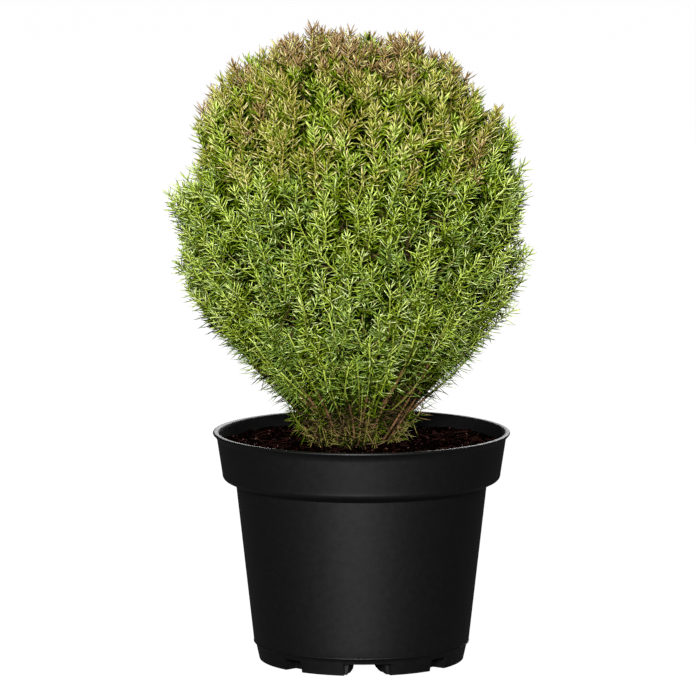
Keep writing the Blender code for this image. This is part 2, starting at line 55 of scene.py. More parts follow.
BODY = "root"
GOLDEN_ANGLE = math.pi * (3 - math.sqrt(5))
Array = np.ndarray
Pair = tuple[float, float]
Triple = tuple[float, float, float]
Socket = bpy.types.NodeSocket
UP = np.array([0.0, 0.0, 1.0])
LEVEL = np.array([1.0, 1.0, 0.0])
# Tubes whose mean direction rises by more than this share of its length count as upright.
NEAR_UPRIGHT = 0.9
# Needles stand beyond this share of their stem's length.
STEM_START = 0.02
# Corners of the noise's lattice along each side.
LATTICE = 64


def linear(red: int, green: int, blue: int) -> Triple:
    """Turns a colour as a screen shows it, 0 to 255, into linear light by the standard curve.

    Args:
        red: Share of red.
        green: Share of green.
        blue: Share of blue.

    Returns:
        The three linear shares, 0 to 1.
    """
    shown = np.array([red, green, blue]) / 255.0
    curve = np.where(shown > 0.04045, ((shown + 0.055) / 1.055) ** 2.4, shown / 12.92)
    return tuple(float(share) for share in curve)


def new_finish(name: str) -> tuple[bpy.types.Material, bpy.types.Node]:
    """Returns a new material and its Principled shader."""
    made = bpy.data.materials.new(name)
    made.use_nodes = True
    return made, made.node_tree.nodes["Principled BSDF"]


def set_inputs(node: bpy.types.Node, values: dict[str, object]) -> None:
    """Sets a node's named inputs."""
    for name, value in values.items():
        node.inputs[name].default_value = value


@dataclass(frozen=True)
class Tint:
    """A plain finish: one colour and one gloss over all that wears it."""

    name: str
    colour: Triple
    roughness: float = 0.40
    specular: float = 0.62

    def material(self) -> bpy.types.Material:
        """Returns the finish as a material, made at its first use."""
        made = bpy.data.materials.get(self.name)
        if made is None:
            made, shader = new_finish(self.name)
            look = {"Base Color": (*self.colour, 1.0), "Roughness": self.roughness}
            set_inputs(shader, look | {"Specular IOR Level": self.specular})
        return made


class Tone(Enum):
    """The tints that sprays, stems and litter are dealt."""

    ROSE = Tint("needle_rose_bronze", linear(160, 130, 84))
    RUST = Tint("needle_rust", linear(124, 98, 48))
    BRONZE = Tint("needle_bronze", linear(164, 152, 72))
    STRAW = Tint("needle_straw", linear(188, 186, 92))
    OLIVE = Tint("needle_olive", linear(134, 138, 30))
    LIME = Tint("needle_lime", linear(198, 216, 106))
    FRESH = Tint("needle_fresh", linear(166, 190, 68))
    LEAF = Tint("needle_leaf", linear(131, 153, 16))
    MOSS = Tint("needle_moss", linear(78, 99, 8), 0.5, 0.04)
    BLUE = Tint("needle_cool", linear(118, 146, 54))
    # Pale tints dealt to random needles: partly pale undersides, partly painted highlights.
    PALE_HIGHLIGHT = Tint("needle_pale_highlight", linear(194, 210, 134))
    CREAM_HIGHLIGHT = Tint("needle_cream_highlight", linear(204, 194, 126))
    # Painted shade: a near-black green for needles deep in the crown and for the oldest needles of some
    # shoots.
    SHADE = Tint("needle_shade", linear(25, 38, 2), 0.8, 0.0)
    DEAD = Tint("needle_dead", linear(130, 105, 68), 0.7, 0.15)
    SPRIG = Tint("stem_sprig", linear(150, 166, 58), 0.5)
    STEM = Tint("stem_young", linear(112, 110, 48), 0.6, 0.2)
    WOOD = Tint("stem_woody", linear(66, 53, 31), 0.8, 0.1)
    TWIG = Tint("stem_russet", linear(112, 82, 54), 0.7, 0.2)


class Litter(Enum):
    """The tints of what lies loose on the substrate."""

    PEAT = Tint("litter_peat", linear(3, 1, 1), 1.0, 0.0)
    BARK = Tint("litter_bark", linear(8, 3, 2), 0.95, 0.01)
    RUSSET = Tint("litter_russet", linear(30, 11, 8), 0.9, 0.02)
    GRIT = Tint("litter_grit", linear(104, 66, 56), 0.60, 0.4)
    FIBRE = Tint("litter_fibre", linear(34, 19, 14), 0.9, 0.05)


def slot_of(tint: Enum) -> int:
    """Returns a tint's place in its list, which is its material slot too."""
    return list(type(tint)).index(tint)


def unit(vectors: Array) -> Array:
    """Returns the vectors at length one: each is divided by the root of the sum of its squares."""
    return vectors / np.maximum(np.linalg.norm(vectors, axis=-1, keepdims=True), 1e-12)


def cubic(start: Array, first: Array, second: Array, end: Array, steps: int) -> Array:
    """Points along cubic curves: (1-t)^3 start + 3t(1-t)^2 first + 3t^2(1-t) second + t^3 end, t from 0 to 1.

    Args:
        start: Where each curve starts.
        first: The point that each leaves its start towards.
        second: The point that each comes to its end from.
        end: Where each curve ends.
        steps: How many points each curve has.

    Returns:
        An array of shape (curves, steps, 3).
    """
    t = np.linspace(0.0, 1.0, steps)[:, None]
    lifted = [corner[..., None, :] for corner in (start, first, second, end)]
    shares = ((1 - t) ** 3, 3 * t * (1 - t) ** 2, 3 * t**2 * (1 - t), t**3)
    return sum(share * corner for share, corner in zip(shares, lifted))


def sampled(paths: Array, shares: Array) -> tuple[Array, Array]:
    """Places and directions along paths, by straight steps between their points.

    Args:
        paths: Shape (paths, points, 3).
        shares: Shape (paths, places), 0 at a path's start and 1 at its end.

    Returns:
        The places and the unit directions there, both of shape (paths, places, 3).
    """
    steps = paths.shape[1] - 1
    place = np.clip(shares, 0.0, 1.0) * steps
    lower = np.minimum(place.astype(int), steps - 1)
    rows = np.arange(len(paths))[:, None]
    near, far = paths[rows, lower], paths[rows, lower + 1]
    return near + (place - lower)[..., None] * (far - near), unit(far - near)


def squared(along: Array, reference: Array) -> tuple[Array, Array]:
    """Two unit vectors square to each direction: the reference less its share along it, and their cross."""
    side = unit(reference - along * np.sum(along * reference, axis=-1, keepdims=True))
    return side, np.cross(along, side)


def nearest(points: Array, places: Array) -> Array:
    """Returns the number of the point that lies nearest to each place."""
    return np.argmin(np.linalg.norm(places[:, None] - points[None], axis=-1), axis=1)


def picked(paths: Array, span: Pair, rng: np.random.Generator) -> tuple[Array, Array]:
    """Returns a random place on each path, between two shares of its length, and the direction there."""
    spots, along = sampled(paths, rng.uniform(*span, (len(paths), 1)))
    return spots[:, 0], along[:, 0]


def around(side: Array, other: Array, turn: Array) -> Array:
    """Returns directions turned from one towards the other: cos(turn) side + sin(turn) other."""
    return np.cos(turn)[..., None] * side + np.sin(turn)[..., None] * other


def spokes(azimuth: Array) -> Array:
    """Returns level unit vectors: (cos, sin, 0) of each azimuth."""
    return np.stack([np.cos(azimuth), np.sin(azimuth), np.zeros_like(azimuth)], axis=-1)


def even_turns(count: int) -> Array:
    """Returns that many angles, spread evenly over one turn."""
    return np.arange(count) * math.tau / count


def eased(first: float, last: float, number: Array) -> Array:
    """Returns values that leave the first and near the last: first + (last - first) (1 - e^-number)."""
    return first + (last - first) * (1 - np.exp(-number))


class Band(NamedTuple):
    """A stretch of heights, or of another measure, over which something comes in."""

    start: float
    span: float

    def share(self, value: Array) -> Array:
        """Rises evenly from 0 at the start to 1 a span above it, or below it where the span is negative."""
        return np.clip((value - self.start) / self.span, 0, 1)


@dataclass
class Facets:
    """Triangles on their points, each with the place of its material slot."""

    points: Array
    triangles: Array
    slots: Array

    @classmethod
    def joined(cls, parts: Sequence[Facets]) -> Facets:
        """Returns several sets as one, each one's corners counted on from the points before it."""
        starts = np.cumsum([0] + [len(part.points) for part in parts])
        return cls(
            np.concatenate([part.points for part in parts]),
            np.concatenate([part.triangles + at for part, at in zip(parts, starts)]),
            np.concatenate([part.slots for part in parts]),
        )

    @classmethod
    def repeated(cls, corners: Array, faces: Sequence[Sequence[int]], slots: Array) -> Facets:
        """Puts the same triangles on each of many bodies, their corners counted on from body to body.

        Args:
            corners: Shape (bodies, corners, 3).
            faces: The three corners of each of one body's triangles.
            slots: The material slot of every triangle, body by body.

        Returns:
            The triangles of all the bodies.
        """
        starts = np.arange(len(corners))[:, None, None] * corners.shape[1]
        return cls(corners.reshape(-1, 3), (np.asarray(faces)[None] + starts).reshape(-1, 3), slots)


def mesh_piece(
    name: str,
    points: Array,
    faces: Sequence[Array],
    materials: Sequence[bpy.types.Material],
    slots: Array | None = None,
) -> bpy.types.Object:
    """Puts points and faces into a smooth shaded mesh object at the origin.

    Args:
        name: The piece's name.
        points: Shape (points, 3).
        faces: Arrays of shape (faces, corners), one for each number of corners.
        materials: What its material slots hold.
        slots: The place of each face's material slot, or None where the piece wears one material.

    Returns:
        The new object.
    """
    mesh = bpy.data.meshes.new(name)
    for material in materials:
        mesh.materials.append(material)
    sizes = np.concatenate([np.full(len(block), block.shape[1]) for block in faces])
    corners = np.concatenate([block.ravel() for block in faces])
    starts = np.concatenate([[0], np.cumsum(sizes)[:-1]])
    mesh.vertices.add(len(points))
    mesh.vertices.foreach_set("co", points.astype(np.float32).ravel())
    mesh.loops.add(len(corners))
    mesh.loops.foreach_set("vertex_index", corners.astype(np.int32))
    mesh.polygons.add(len(sizes))
    mesh.polygons.foreach_set("loop_start", starts.astype(np.int32))
    if slots is not None:
        mesh.polygons.foreach_set("material_index", slots.astype(np.int32))
    mesh.update(calc_edges=True)
    mesh.shade_smooth()
    piece = bpy.data.objects.new(name, mesh)
    bpy.context.scene.collection.objects.link(piece)
    return piece


def settle(piece: bpy.types.Object, nodes: Sequence[str] = ()) -> bpy.types.Object:
    """Makes a piece ride on the body and stand for nodes of the model, which it hides.

    Args:
        piece: The finished object.
        nodes: The nodes that it replaces.

    Returns:
        The same object.
    """
    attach(piece, BODY)
    if nodes:
        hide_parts(*nodes)
    LOG.info("%s: %d faces", piece.name, len(piece.data.polygons))
    return piece


def dealt_piece(
    name: str, facets: Facets, tints: type[Enum], nodes: Sequence[str] = ()
) -> bpy.types.Object:
    """Makes a piece of many small closed bodies in the tints that they are dealt.

    Args:
        name: The piece's name.
        facets: The bodies' triangles.
        tints: The list of tints that the triangles' slots count in.
        nodes: The nodes that it replaces.

    Returns:
        The new object.
    """
    materials = [tint.value.material() for tint in tints]
    piece = mesh_piece(name, facets.points, [facets.triangles], materials, facets.slots)
    return settle(piece, nodes)


def turned_faces(rows: int, columns: int) -> list[Array]:
    """Faces of a surface turned round the axis, closed by a point at each end.

    The first point is one pole, then come the rows of columns, and the last point is the other pole.
    The profile runs from the underside's middle outwards and up, so that the faces point out.

    Args:
        rows: How many points the profile has between the poles.
        columns: How many times it is repeated round the axis.

    Returns:
        The faces of four corners and those of three.
    """
    column = np.arange(columns)
    after = (column + 1) % columns
    row = np.arange(rows - 1)[:, None] * columns + 1
    quads = np.stack([row + column, row + after, row + columns + after, row + columns + column], axis=-1)
    base = 1 + (rows - 1) * columns
    first_fan = np.stack([np.zeros(columns, int), 1 + after, 1 + column], axis=-1)
    last_fan = np.stack([np.full(columns, base + columns), base + column, base + after], axis=-1)
    return [quads.reshape(-1, 4), np.concatenate([first_fan, last_fan])]


def turned_piece(
    name: str, first: Array, body: Array, last: Array, material: bpy.types.Material
) -> bpy.types.Object:
    """Makes a closed piece of a profile turned round the axis.

    Args:
        name: The piece's name.
        first: The pole that the profile starts at.
        body: Shape (rows, columns, 3), the points between the poles.
        last: The pole that it ends at.
        material: What it wears.

    Returns:
        The new object.
    """
    points = np.concatenate([[first], body.reshape(-1, 3), [last]])
    return mesh_piece(name, points, turned_faces(*body.shape[:2]), [material])


def tubes(paths: Array, radii: Array, sides: int, slots: Array | int) -> Facets:
    """Closed tubes along paths: rings of radius times (cos a side + sin a other), both ends shut.

    Args:
        paths: Shape (tubes, points, 3).
        radii: Shape (tubes, points), or one that spreads to it.
        sides: Corners of a ring.
        slots: Shape (tubes, points - 1), or one that spreads to it: the material slot of each stretch.

    Returns:
        The tubes' triangles.
    """
    count, steps = paths.shape[:2]
    mean = unit(paths[:, -1] - paths[:, 0])
    reference = np.where(np.abs(mean[:, 2:]) < NEAR_UPRIGHT, UP, np.array([1.0, 0.0, 0.0]))
    side, other = squared(unit(np.gradient(paths, axis=1)), squared(mean, reference)[0][:, None, :])
    rings = around(side[:, :, None], other[:, :, None], even_turns(sides))
    points = paths[:, :, None, :] + np.broadcast_to(radii, (count, steps))[..., None, None] * rings
    corner = np.arange(sides)
    lower = np.arange(steps - 1)[:, None] * sides + corner
    lower_after = np.arange(steps - 1)[:, None] * sides + (corner + 1) % sides
    upper, upper_after = lower + sides, lower_after + sides
    wall = np.stack([lower, lower_after, upper_after, lower, upper_after, upper], axis=-1).reshape(-1, 3)
    fan = np.stack([np.zeros(sides - 2, int), corner[2:], corner[1:-1]], axis=-1)
    roof = fan[:, ::-1] + (steps - 1) * sides
    slots = np.broadcast_to(slots, (count, steps - 1))
    worn = [np.repeat(slots, 2 * sides, axis=1), np.repeat(slots[:, [0, -1]], sides - 2, axis=1)]
    return Facets.repeated(
        points.reshape(count, -1, 3), np.concatenate([wall, fan, roof]), np.concatenate(worn, axis=1).ravel()
    )


class Bell(NamedTuple):
    """A bell curve on the crown's outline: its azimuth in degrees, its height, amount and spread upwards."""

    degrees: float
    middle: float
    amount: float
    spread: float

    def at(self, azimuth: Array, height: Array, width: float) -> Array:
        """Returns amount times exp(-(turn / width)^2 - (climb / spread)^2), with the width in radians."""
        turn = (azimuth - math.radians(self.degrees) + math.pi) % math.tau - math.pi
        return self.amount * np.exp(-((turn / width) ** 2) - ((height - self.middle) / self.spread) ** 2)


class Wave(NamedTuple):
    """A sine over the crown: its share, its folds round the crown, its turn with height and its start."""

    share: float
    folds: int
    climb: float
    phase: float


@dataclass
class Crown:
    """The crown's outline: a superellipse above its waist and a power curve below, with lumps and tufts."""

    middle: Pair = (-0.0078, 0.0)
    lean: float = -0.0010
    top: float = 0.4085
    foot: float = 0.1430
    waist_height: float = 0.2720
    waist_radius: float = 0.1130
    foot_spread: float = 0.0240
    shoulder_power: float = 2.3
    skirt_power: float = 1.75
    slope_step: float = 0.0004
    least_radius: float = 0.004
    goal_levels: int = 400
    top_gap: float = 0.0003
    goal_stray: float = 0.05
    lump: float = 0.022
    waves: tuple[Wave, ...] = (Wave(0.50, 3, 9.0, 0.0), Wave(0.35, 5, -14.0, 1.3), Wave(0.35, 8, 21.0, 0.4))
    bump_spread: float = math.radians(30)
    bumps: tuple[Bell, ...] = (
        Bell(180, 0.297, 0.0060, 0.008),
        Bell(180, 0.324, -0.0115, 0.015),
        Bell(180, 0.364, 0.0050, 0.008),
        Bell(180, 0.247, 0.0085, 0.018),
        Bell(180, 0.392, -0.0060, 0.010),
        Bell(0, 0.344, 0.0110, 0.012),
        Bell(0, 0.370, -0.0060, 0.009),
        Bell(0, 0.262, 0.0050, 0.009),
        Bell(0, 0.237, 0.0080, 0.013),
        Bell(0, 0.306, 0.0070, 0.030),
        Bell(0, 0.192, 0.0045, 0.020),
        Bell(180, 0.190, -0.0070, 0.020),
    )
    flank_spread: float = math.radians(42)
    open_flanks: tuple[Bell, ...] = (
        Bell(0, 0.250, 0.026, 0.020),
        Bell(-4, 0.195, 0.026, 0.032),
        Bell(180, 0.195, 0.022, 0.032),
    )

    def radius(self, height: Array) -> Array:
        """The smooth outline: R(1 - rise^p)^(1/p) above the waist, R - (R - foot) drop^q below it.

        Args:
            height: The heights to measure at.

        Returns:
            The radius at each height.
        """
        rise = Band(self.waist_height, self.top - self.waist_height).share(height)
        drop = Band(self.waist_height, self.foot - self.waist_height).share(height)
        shoulder = (1 - rise**self.shoulder_power) ** (1 / self.shoulder_power)
        skirt = (self.waist_radius - self.foot_spread) * drop**self.skirt_power
        return self.waist_radius * shoulder - skirt

    def swell(self, azimuth: Array, height: Array) -> Array:
        """How far the outline stands out: three sines of azimuth and height, and the tufts' bell curves.

        Args:
            azimuth: Angles round the axis.
            height: Heights above the ground.

        Returns:
            The distances, in metres.
        """
        level = height / self.waist_height
        waves = sum(
            wave.share * np.sin(wave.folds * azimuth + wave.climb * level + wave.phase) for wave in self.waves
        )
        tufts = (bump.at(azimuth, height, self.bump_spread) for bump in self.bumps)
        return sum(tufts, self.lump * waves * self.radius(height))

    def hollow(self, azimuth: Array, height: Array) -> Array:
        """Returns how much deeper shoots end where sky shows between the outer ones: bell curves."""
        return sum(flank.at(azimuth, height, self.flank_spread) for flank in self.open_flanks)

    def axis(self, height: Array) -> Array:
        """The crown's middle at each height: it leans a little to the left towards its top.

        Args:
            height: The heights to place it at.

        Returns:
            The middles, of the heights' shape and three wide.
        """
        rise = (height - self.foot) / (self.top - self.foot)
        x = self.middle[0] + self.lean * rise
        return np.stack([x, np.full_like(x, self.middle[1]), height], axis=-1)

    def surface(self, azimuth: Array, height: Array, inset: Array) -> Array:
        """Points on the outline, or inside it along the normal (1, -dr/dh) of its smooth profile.

        Args:
            azimuth: Angles round the axis.
            height: Heights on the outline.
            inset: How far inside each point lies.

        Returns:
            The points.
        """
        above, below = np.minimum(height + self.slope_step, self.top), height - self.slope_step
        slope = (self.radius(above) - self.radius(below)) / (above - below)
        level = 1 / np.hypot(1.0, slope)
        radius = self.radius(height) + self.swell(azimuth, height) - inset * level
        lowered = height + inset * slope * level
        return self.axis(lowered) + np.maximum(radius, 0.0)[..., None] * spokes(azimuth)

    def held(self, points: Array, inset: float) -> Array:
        """Draws points that stand out past the outline less an inset back to it, level with themselves.

        Args:
            points: Points of any shape, three wide.
            inset: How far inside the outline the limit lies.

        Returns:
            The points, moved where they stood out.
        """
        height = np.clip(points[..., 2], self.foot, self.top)
        offset = points - self.axis(height)
        azimuth = np.arctan2(offset[..., 1], offset[..., 0])
        limit = self.radius(height) + self.swell(azimuth, height) - inset
        excess = np.hypot(offset[..., 0], offset[..., 1]) - np.maximum(limit, self.least_radius)
        spoke = (points - self.axis(points[..., 2])) * LEVEL
        return points - np.maximum(excess, 0)[..., None] * unit(spoke)

    def goals(self, count: int, rng: np.random.Generator, lowest: float) -> tuple[Array, Array]:
        """Azimuths and heights spread evenly over the outline by area, on a golden-angle spiral.

        Args:
            count: How many there are.
            rng: The seeded source of chance.
            lowest: The height that they start at.

        Returns:
            The azimuths and the heights.
        """
        levels = np.linspace(lowest, self.top - self.top_gap, self.goal_levels)
        radii = self.radius(levels)
        band = np.hypot(np.diff(levels), np.diff(radii)) * (radii[1:] + radii[:-1])
        area = np.concatenate([[0.0], np.cumsum(band)])
        share = (np.arange(count) + 0.5) / count
        height = np.interp(share * area[-1], area, levels)
        stray = rng.uniform(-self.goal_stray, self.goal_stray, count)
        return (np.arange(count) * GOLDEN_ANGLE + stray) % math.tau, height


class Ring(NamedTuple):
    """A ring of masses: its seats, where its boughs leave the trunk, and how far they stray."""

    name: str
    count: int
    height: float
    distance: float
    turn: float
    hub: float
    leave: float
    stray: float
    lift: float
    leave_stray: float


RINGS = (
    Ring("top", 1, 0.355, 0.000, 0.0, 0.200, 0.300, 0.0, 0.0, 0.0),
    Ring("upper", 6, 0.333, 0.062, 12.0, 0.190, 0.225, 0.09, 0.004, 0.005),
    Ring("middle", 8, 0.271, 0.083, 30.0, 0.165, 0.185, 0.09, 0.004, 0.005),
    Ring("lower", 7, 0.212, 0.064, 5.0, 0.140, 0.162, 0.09, 0.004, 0.005),
    Ring("foot", 5, 0.160, 0.033, 54.0, 0.140, 0.1475, 0.09, 0.0, 0.0),
)


def bark_ridges(turn: Array, length: Array) -> Array:
    """Stringy bark, -1 to 1: sharp crests of sines of the turn, which wander and break along the length.

    Args:
        turn: Angles round the stem.
        length: Lengths along it, in metres.

    Returns:
        The ridges' height as a share of the relief.
    """
    wander = 0.7 * np.sin(length * 260) + 0.4 * np.sin(length * 610 + 1.0)
    broad = 1 - 2 * np.abs(np.sin(2.5 * turn + wander))
    fine = 1 - 2 * np.abs(np.sin(6 * turn - 1.6 * wander + length * 400))
    breaks = np.sin(length * 1500 + 3 * np.sin(turn * 3))
    return 0.55 * broad + 0.30 * fine + 0.15 * breaks


@dataclass
class Trunk:
    """The root collar and the leader above it, with a slight sway and a relief of bark ridges."""

    crown: Crown
    base: float = 0.1402
    flare_radius: float = 0.0085
    flare_height: float = 0.012
    most_flare: float = 1.2
    foot_radius: float = 0.0058
    tip_radius: float = 0.0016
    tip_height: float = 0.3270
    sway: Triple = (0.0018, -0.0013, 0.0)
    sway_per_metre: float = 34.0
    rings: int = 150
    sides: int = 48
    ridge: float = 0.11
    sunk: float = 0.003

    def radius(self, height: Array) -> Array:
        """A straight taper to the tip, and below it a flare that dies out as a square.

        Args:
            height: The heights to measure at.

        Returns:
            The radius at each height.
        """
        above = height - self.base
        rise = above / (self.tip_height - self.base)
        taper = self.foot_radius + (self.tip_radius - self.foot_radius) * rise
        flare = np.clip(1 - above / self.flare_height, 0, self.most_flare) ** 2
        return taper + (self.flare_radius - self.foot_radius) * flare

    def middle(self, height: Array) -> Array:
        """The trunk's axis: the crown's middle and a sine of the height above the substrate."""
        wave = np.sin((height - self.base) * self.sway_per_metre)
        return self.crown.axis(height) + wave[..., None] * np.array(self.sway)

    def make(self, bark: bpy.types.Material) -> None:
        """Builds the trunk: rings round its axis, each radius raised by stringy ridges that wander.

        Args:
            bark: What it wears.
        """
        height = np.linspace(self.base - self.sunk, self.tip_height, self.rings)
        turn, level = np.meshgrid(even_turns(self.sides), height)
        radius = self.radius(level) * (1 + self.ridge * bark_ridges(turn, level))
        body = self.middle(level) + radius[..., None] * spokes(turn)
        first, last = self.middle(height[[0, -1]])
        settle(turned_piece("trunk_bark", first, body, last, bark), ["trunk"])


@dataclass
class Mass:
    """One mass of foliage: its seat, the way out of it, and where its bough leaves and its stem starts."""

    ring: Ring
    name: str
    level: Array
    seat: Array
    outward: Array
    stem_end: Array
    leave: float


class Twigs(NamedTuple):
    """The twigs' paths, of shape (twigs, points, 3), and the goal on the outline that each one serves."""

    paths: Array
    goals: Array


@dataclass
class Framework:
    """The boughs and twigs that carry the foliage, by the rule of the model's masses."""

    crown: Crown
    trunk: Trunk
    stem_length: float = 0.026
    bough_base: float = 0.0022
    bough_tip: float = 0.00096
    bough_ease: float = 0.30
    bough_steps: int = 18
    bough_sides: int = 12
    bough_ridge: float = 0.10
    bark_length: float = 0.08
    stem_from: float = 0.15
    stem_steps: int = 6
    twig_base: float = 0.0010
    twig_tip: float = 0.0007
    twigs: int = 260
    twig_steps: int = 7
    twig_inset: float = 0.003
    twig_start: Pair = (0.25, 1.0)
    twig_ease: float = 0.35
    twig_back: float = 0.036
    shorter_below: Band = Band(0.145, 0.07)
    least_back: float = 0.35
    low_fan: Band = Band(0.200, -0.045)
    fan_centre: Triple = (-0.0045, 0.0, 0.148)
    foot_fan_centre: Triple = (-0.0078, 0.0, 0.132)
    masses: list[Mass] = field(default_factory=list)

    def __post_init__(self) -> None:
        """Places the masses: even turns about the axis, each strayed a little by sines of its number."""
        for ring in RINGS:
            self.masses.extend(self.placed(ring, number) for number in range(ring.count))
        self.seats = np.array([mass.seat for mass in self.masses])

    def placed(self, ring: Ring, number: int) -> Mass:
        """Places one mass of a ring.

        Args:
            ring: The ring that it stands in.
            number: Its number there.

        Returns:
            The mass.
        """
        azimuth = math.radians(ring.turn) + number * math.tau / ring.count
        azimuth += ring.stray * math.sin(5.1 * number + 40 * ring.height)
        lift = ring.lift * math.sin(3.7 * number + 25 * ring.height)
        level = np.array([math.cos(azimuth), math.sin(azimuth), 0.0])
        seat = self.crown.axis(np.array(ring.height + lift)) + ring.distance * level
        outward = unit(seat - self.crown.axis(np.array(ring.hub)))
        name = f"{ring.name}_{number + 1}" if ring.count > 1 else ring.name
        leave = ring.leave + ring.leave_stray * math.sin(2.4 * number)
        at_foot = ring.name == "foot"
        stem_end = self.trunk.middle(np.array(leave)) if at_foot else seat - outward * self.stem_length
        return Mass(ring, name, level, seat, outward, stem_end, leave)

    def home(self, points: Array) -> Array:
        """Returns the place of the mass whose seat lies nearest to each point."""
        return nearest(self.seats, points)

    def fan(self, points: Array) -> Array:
        """The way shoots point: away from a place low in the crown, and from a nearer one at the foot.

        Args:
            points: Shape (points, 3).

        Returns:
            A unit vector for each point.
        """
        low = self.low_fan.share(points[:, 2:])
        centre = (1 - low) * np.array(self.fan_centre) + low * np.array(self.foot_fan_centre)
        return unit(points - centre)

    def bough_paths(self) -> Array:
        """Cubic curves from the trunk's axis to each mass's stem, and straight on to its seat.

        Returns:
            Shape (boughs, points, 3).
        """
        carried = [mass for mass in self.masses if mass.ring.distance]
        start = self.trunk.middle(np.array([mass.leave for mass in carried]))
        end, seat, outward, level = (
            np.array([getattr(mass, name) for mass in carried])
            for name in ("stem_end", "seat", "outward", "level")
        )
        at_foot = np.array([mass.ring.name == "foot" for mass in carried])[:, None]
        end = np.where(at_foot, (start + seat) / 2, end)
        ease = self.bough_ease * np.linalg.norm(end - start, axis=1, keepdims=True)
        leaving = unit(level + UP)
        curve = cubic(start, start + leaving * ease, end - outward * ease, end, self.bough_steps)
        places = np.tile(np.linspace(self.stem_from, 1, self.stem_steps), (len(seat), 1))
        return np.concatenate([curve, sampled(np.stack([end, seat], axis=1), places)[0]], axis=1)

    def make_boughs(self, bark: bpy.types.Material) -> None:
        """Builds the boughs: rings along their curves, each radius raised by the trunk's bark ridges.

        Args:
            bark: What they wear.
        """
        paths = self.bough_paths()
        count, steps = paths.shape[:2]
        facets = tubes(paths, np.linspace(self.bough_base, self.bough_tip, steps), self.bough_sides, 0)
        rings = facets.points.reshape(count, steps, self.bough_sides, 3)
        turn, length = np.meshgrid(even_turns(self.bough_sides), np.linspace(0, self.bark_length, steps))
        relief = bark_ridges(turn, length)
        rings = rings + self.bough_ridge * relief[None, ..., None] * (rings - paths[:, :, None, :])
        piece = mesh_piece("bough_bark", rings.reshape(-1, 3), [facets.triangles], [bark])
        carried = [mass for mass in self.masses if mass.ring.distance and mass.ring.name != "foot"]
        settle(piece, [f"bough_{mass.name}" for mass in carried])

    def make_twigs(self, rng: np.random.Generator) -> Twigs:
        """Works out twigs from each mass's stem to places behind the outline.

        Args:
            rng: The seeded source of chance.

        Returns:
            The twigs.
        """
        azimuth, height = self.crown.goals(self.twigs, rng, self.crown.foot)
        goal = self.crown.surface(azimuth, height, rng.uniform(0.0, self.twig_inset, self.twigs))
        home = self.home(goal)
        stem = np.array([[mass.stem_end, mass.seat] for mass in self.masses])[home]
        start = sampled(stem, rng.uniform(*self.twig_start, (self.twigs, 1)))[0][:, 0]
        low, rise = self.shorter_below
        back = self.twig_back * np.clip((goal[:, 2:] - low) / rise + self.least_back, self.least_back, 1)
        knee = goal - self.fan(goal) * back
        outward = np.array([mass.outward for mass in self.masses])[home]
        ease = self.twig_ease * np.linalg.norm(knee - start, axis=1, keepdims=True)
        arrive = unit(goal - knee)
        path = cubic(start, start + outward * ease, knee - arrive * ease, knee, self.twig_steps)
        return Twigs(path, goal)


@dataclass(frozen=True)
class Habit:
    """How one kind of shoot grows and how its needles stand.

    The shares of sunlit, thin and low growth say by how much a measure changes where that growth is full.
    """

    pairs: int
    pitch: float
    needle_length: float
    needle_width: float
    stem_start: float
    stem_tip: float
    open_angle: float
    tip_angle: float
    points: int
    sides: int
    slim: bool = False
    stages: Triple = (0.22, 0.55, 0.84)
    angle_stray: float = 0.15
    way_stray: float = 0.05
    # The share of needles dealt a pale tint, partly pale undersides and partly painted highlights.
    pale_highlight_share: float = 0.16
    bare: Tone = Tone.WOOD
    aged_below: float = 0.172
    aged_stray: float = 0.007
    early_share: float = 0.20
    bare_drop: float = 0.014
    bare_from: float = 0.85
    young_from: float = 0.60
    tip_closeness: float = 0.42
    closing_pairs: float = 3.0
    opening_pairs: float = 1.9
    tip_length: float = 0.76
    growing_pairs: float = 2.5
    pair_stray: float = 0.20
    blade_stray: float = 0.12
    length_range: Pair = (0.80, 1.12)
    width_range: Pair = (0.85, 1.12)
    sunlit: Band = Band(0.275, 0.080)
    sunlit_closer: float = 0.16
    sunlit_upright: float = math.radians(15)
    sunlit_steadier: float = 0.4
    sunlit_broader: float = 0.30
    # Above this share of sunlit growth, the painted highlights are cream.
    cream_highlight_above: float = 0.6
    thin: Band = Band(0.235, -0.05)
    thin_wider: float = 0.22
    thin_fewer_pale: float = 0.5
    low: Band = Band(0.215, -0.04)
    low_longer: float = 0.16
    low_narrower: float = 0.18

    @property
    def needled(self) -> float:
        """The length of stem that carries needles."""
        return self.pairs * self.pitch


NEEDLE_FACES = (
    (0, 1, 2), (0, 3, 4), (0, 4, 1), (1, 4, 5), (1, 5, 2), (2, 5, 3), (2, 3, 0),
    (3, 6, 4), (4, 6, 5), (5, 6, 3),
)
SLIM_FACES = ((0, 1, 2), (0, 3, 1), (0, 2, 3), (1, 4, 2), (1, 3, 4), (3, 2, 4))
# Each ring's share of a needle's length, its sag as a share of the length, and its share of the breadth.
NEEDLE_RINGS = ((0.0, 0.0, 0.80), (0.60, 0.020, 1.0))
# How far the edges stand above a ring's middle and the keel below it, in half breadths.
EDGE_RISE, KEEL_DROP = 0.35, 0.95
# Where a slim needle is broadest, as a share of its length, and its keel's depth in half breadths.
SLIM_MIDDLE, SLIM_KEEL = 0.40, 1.1


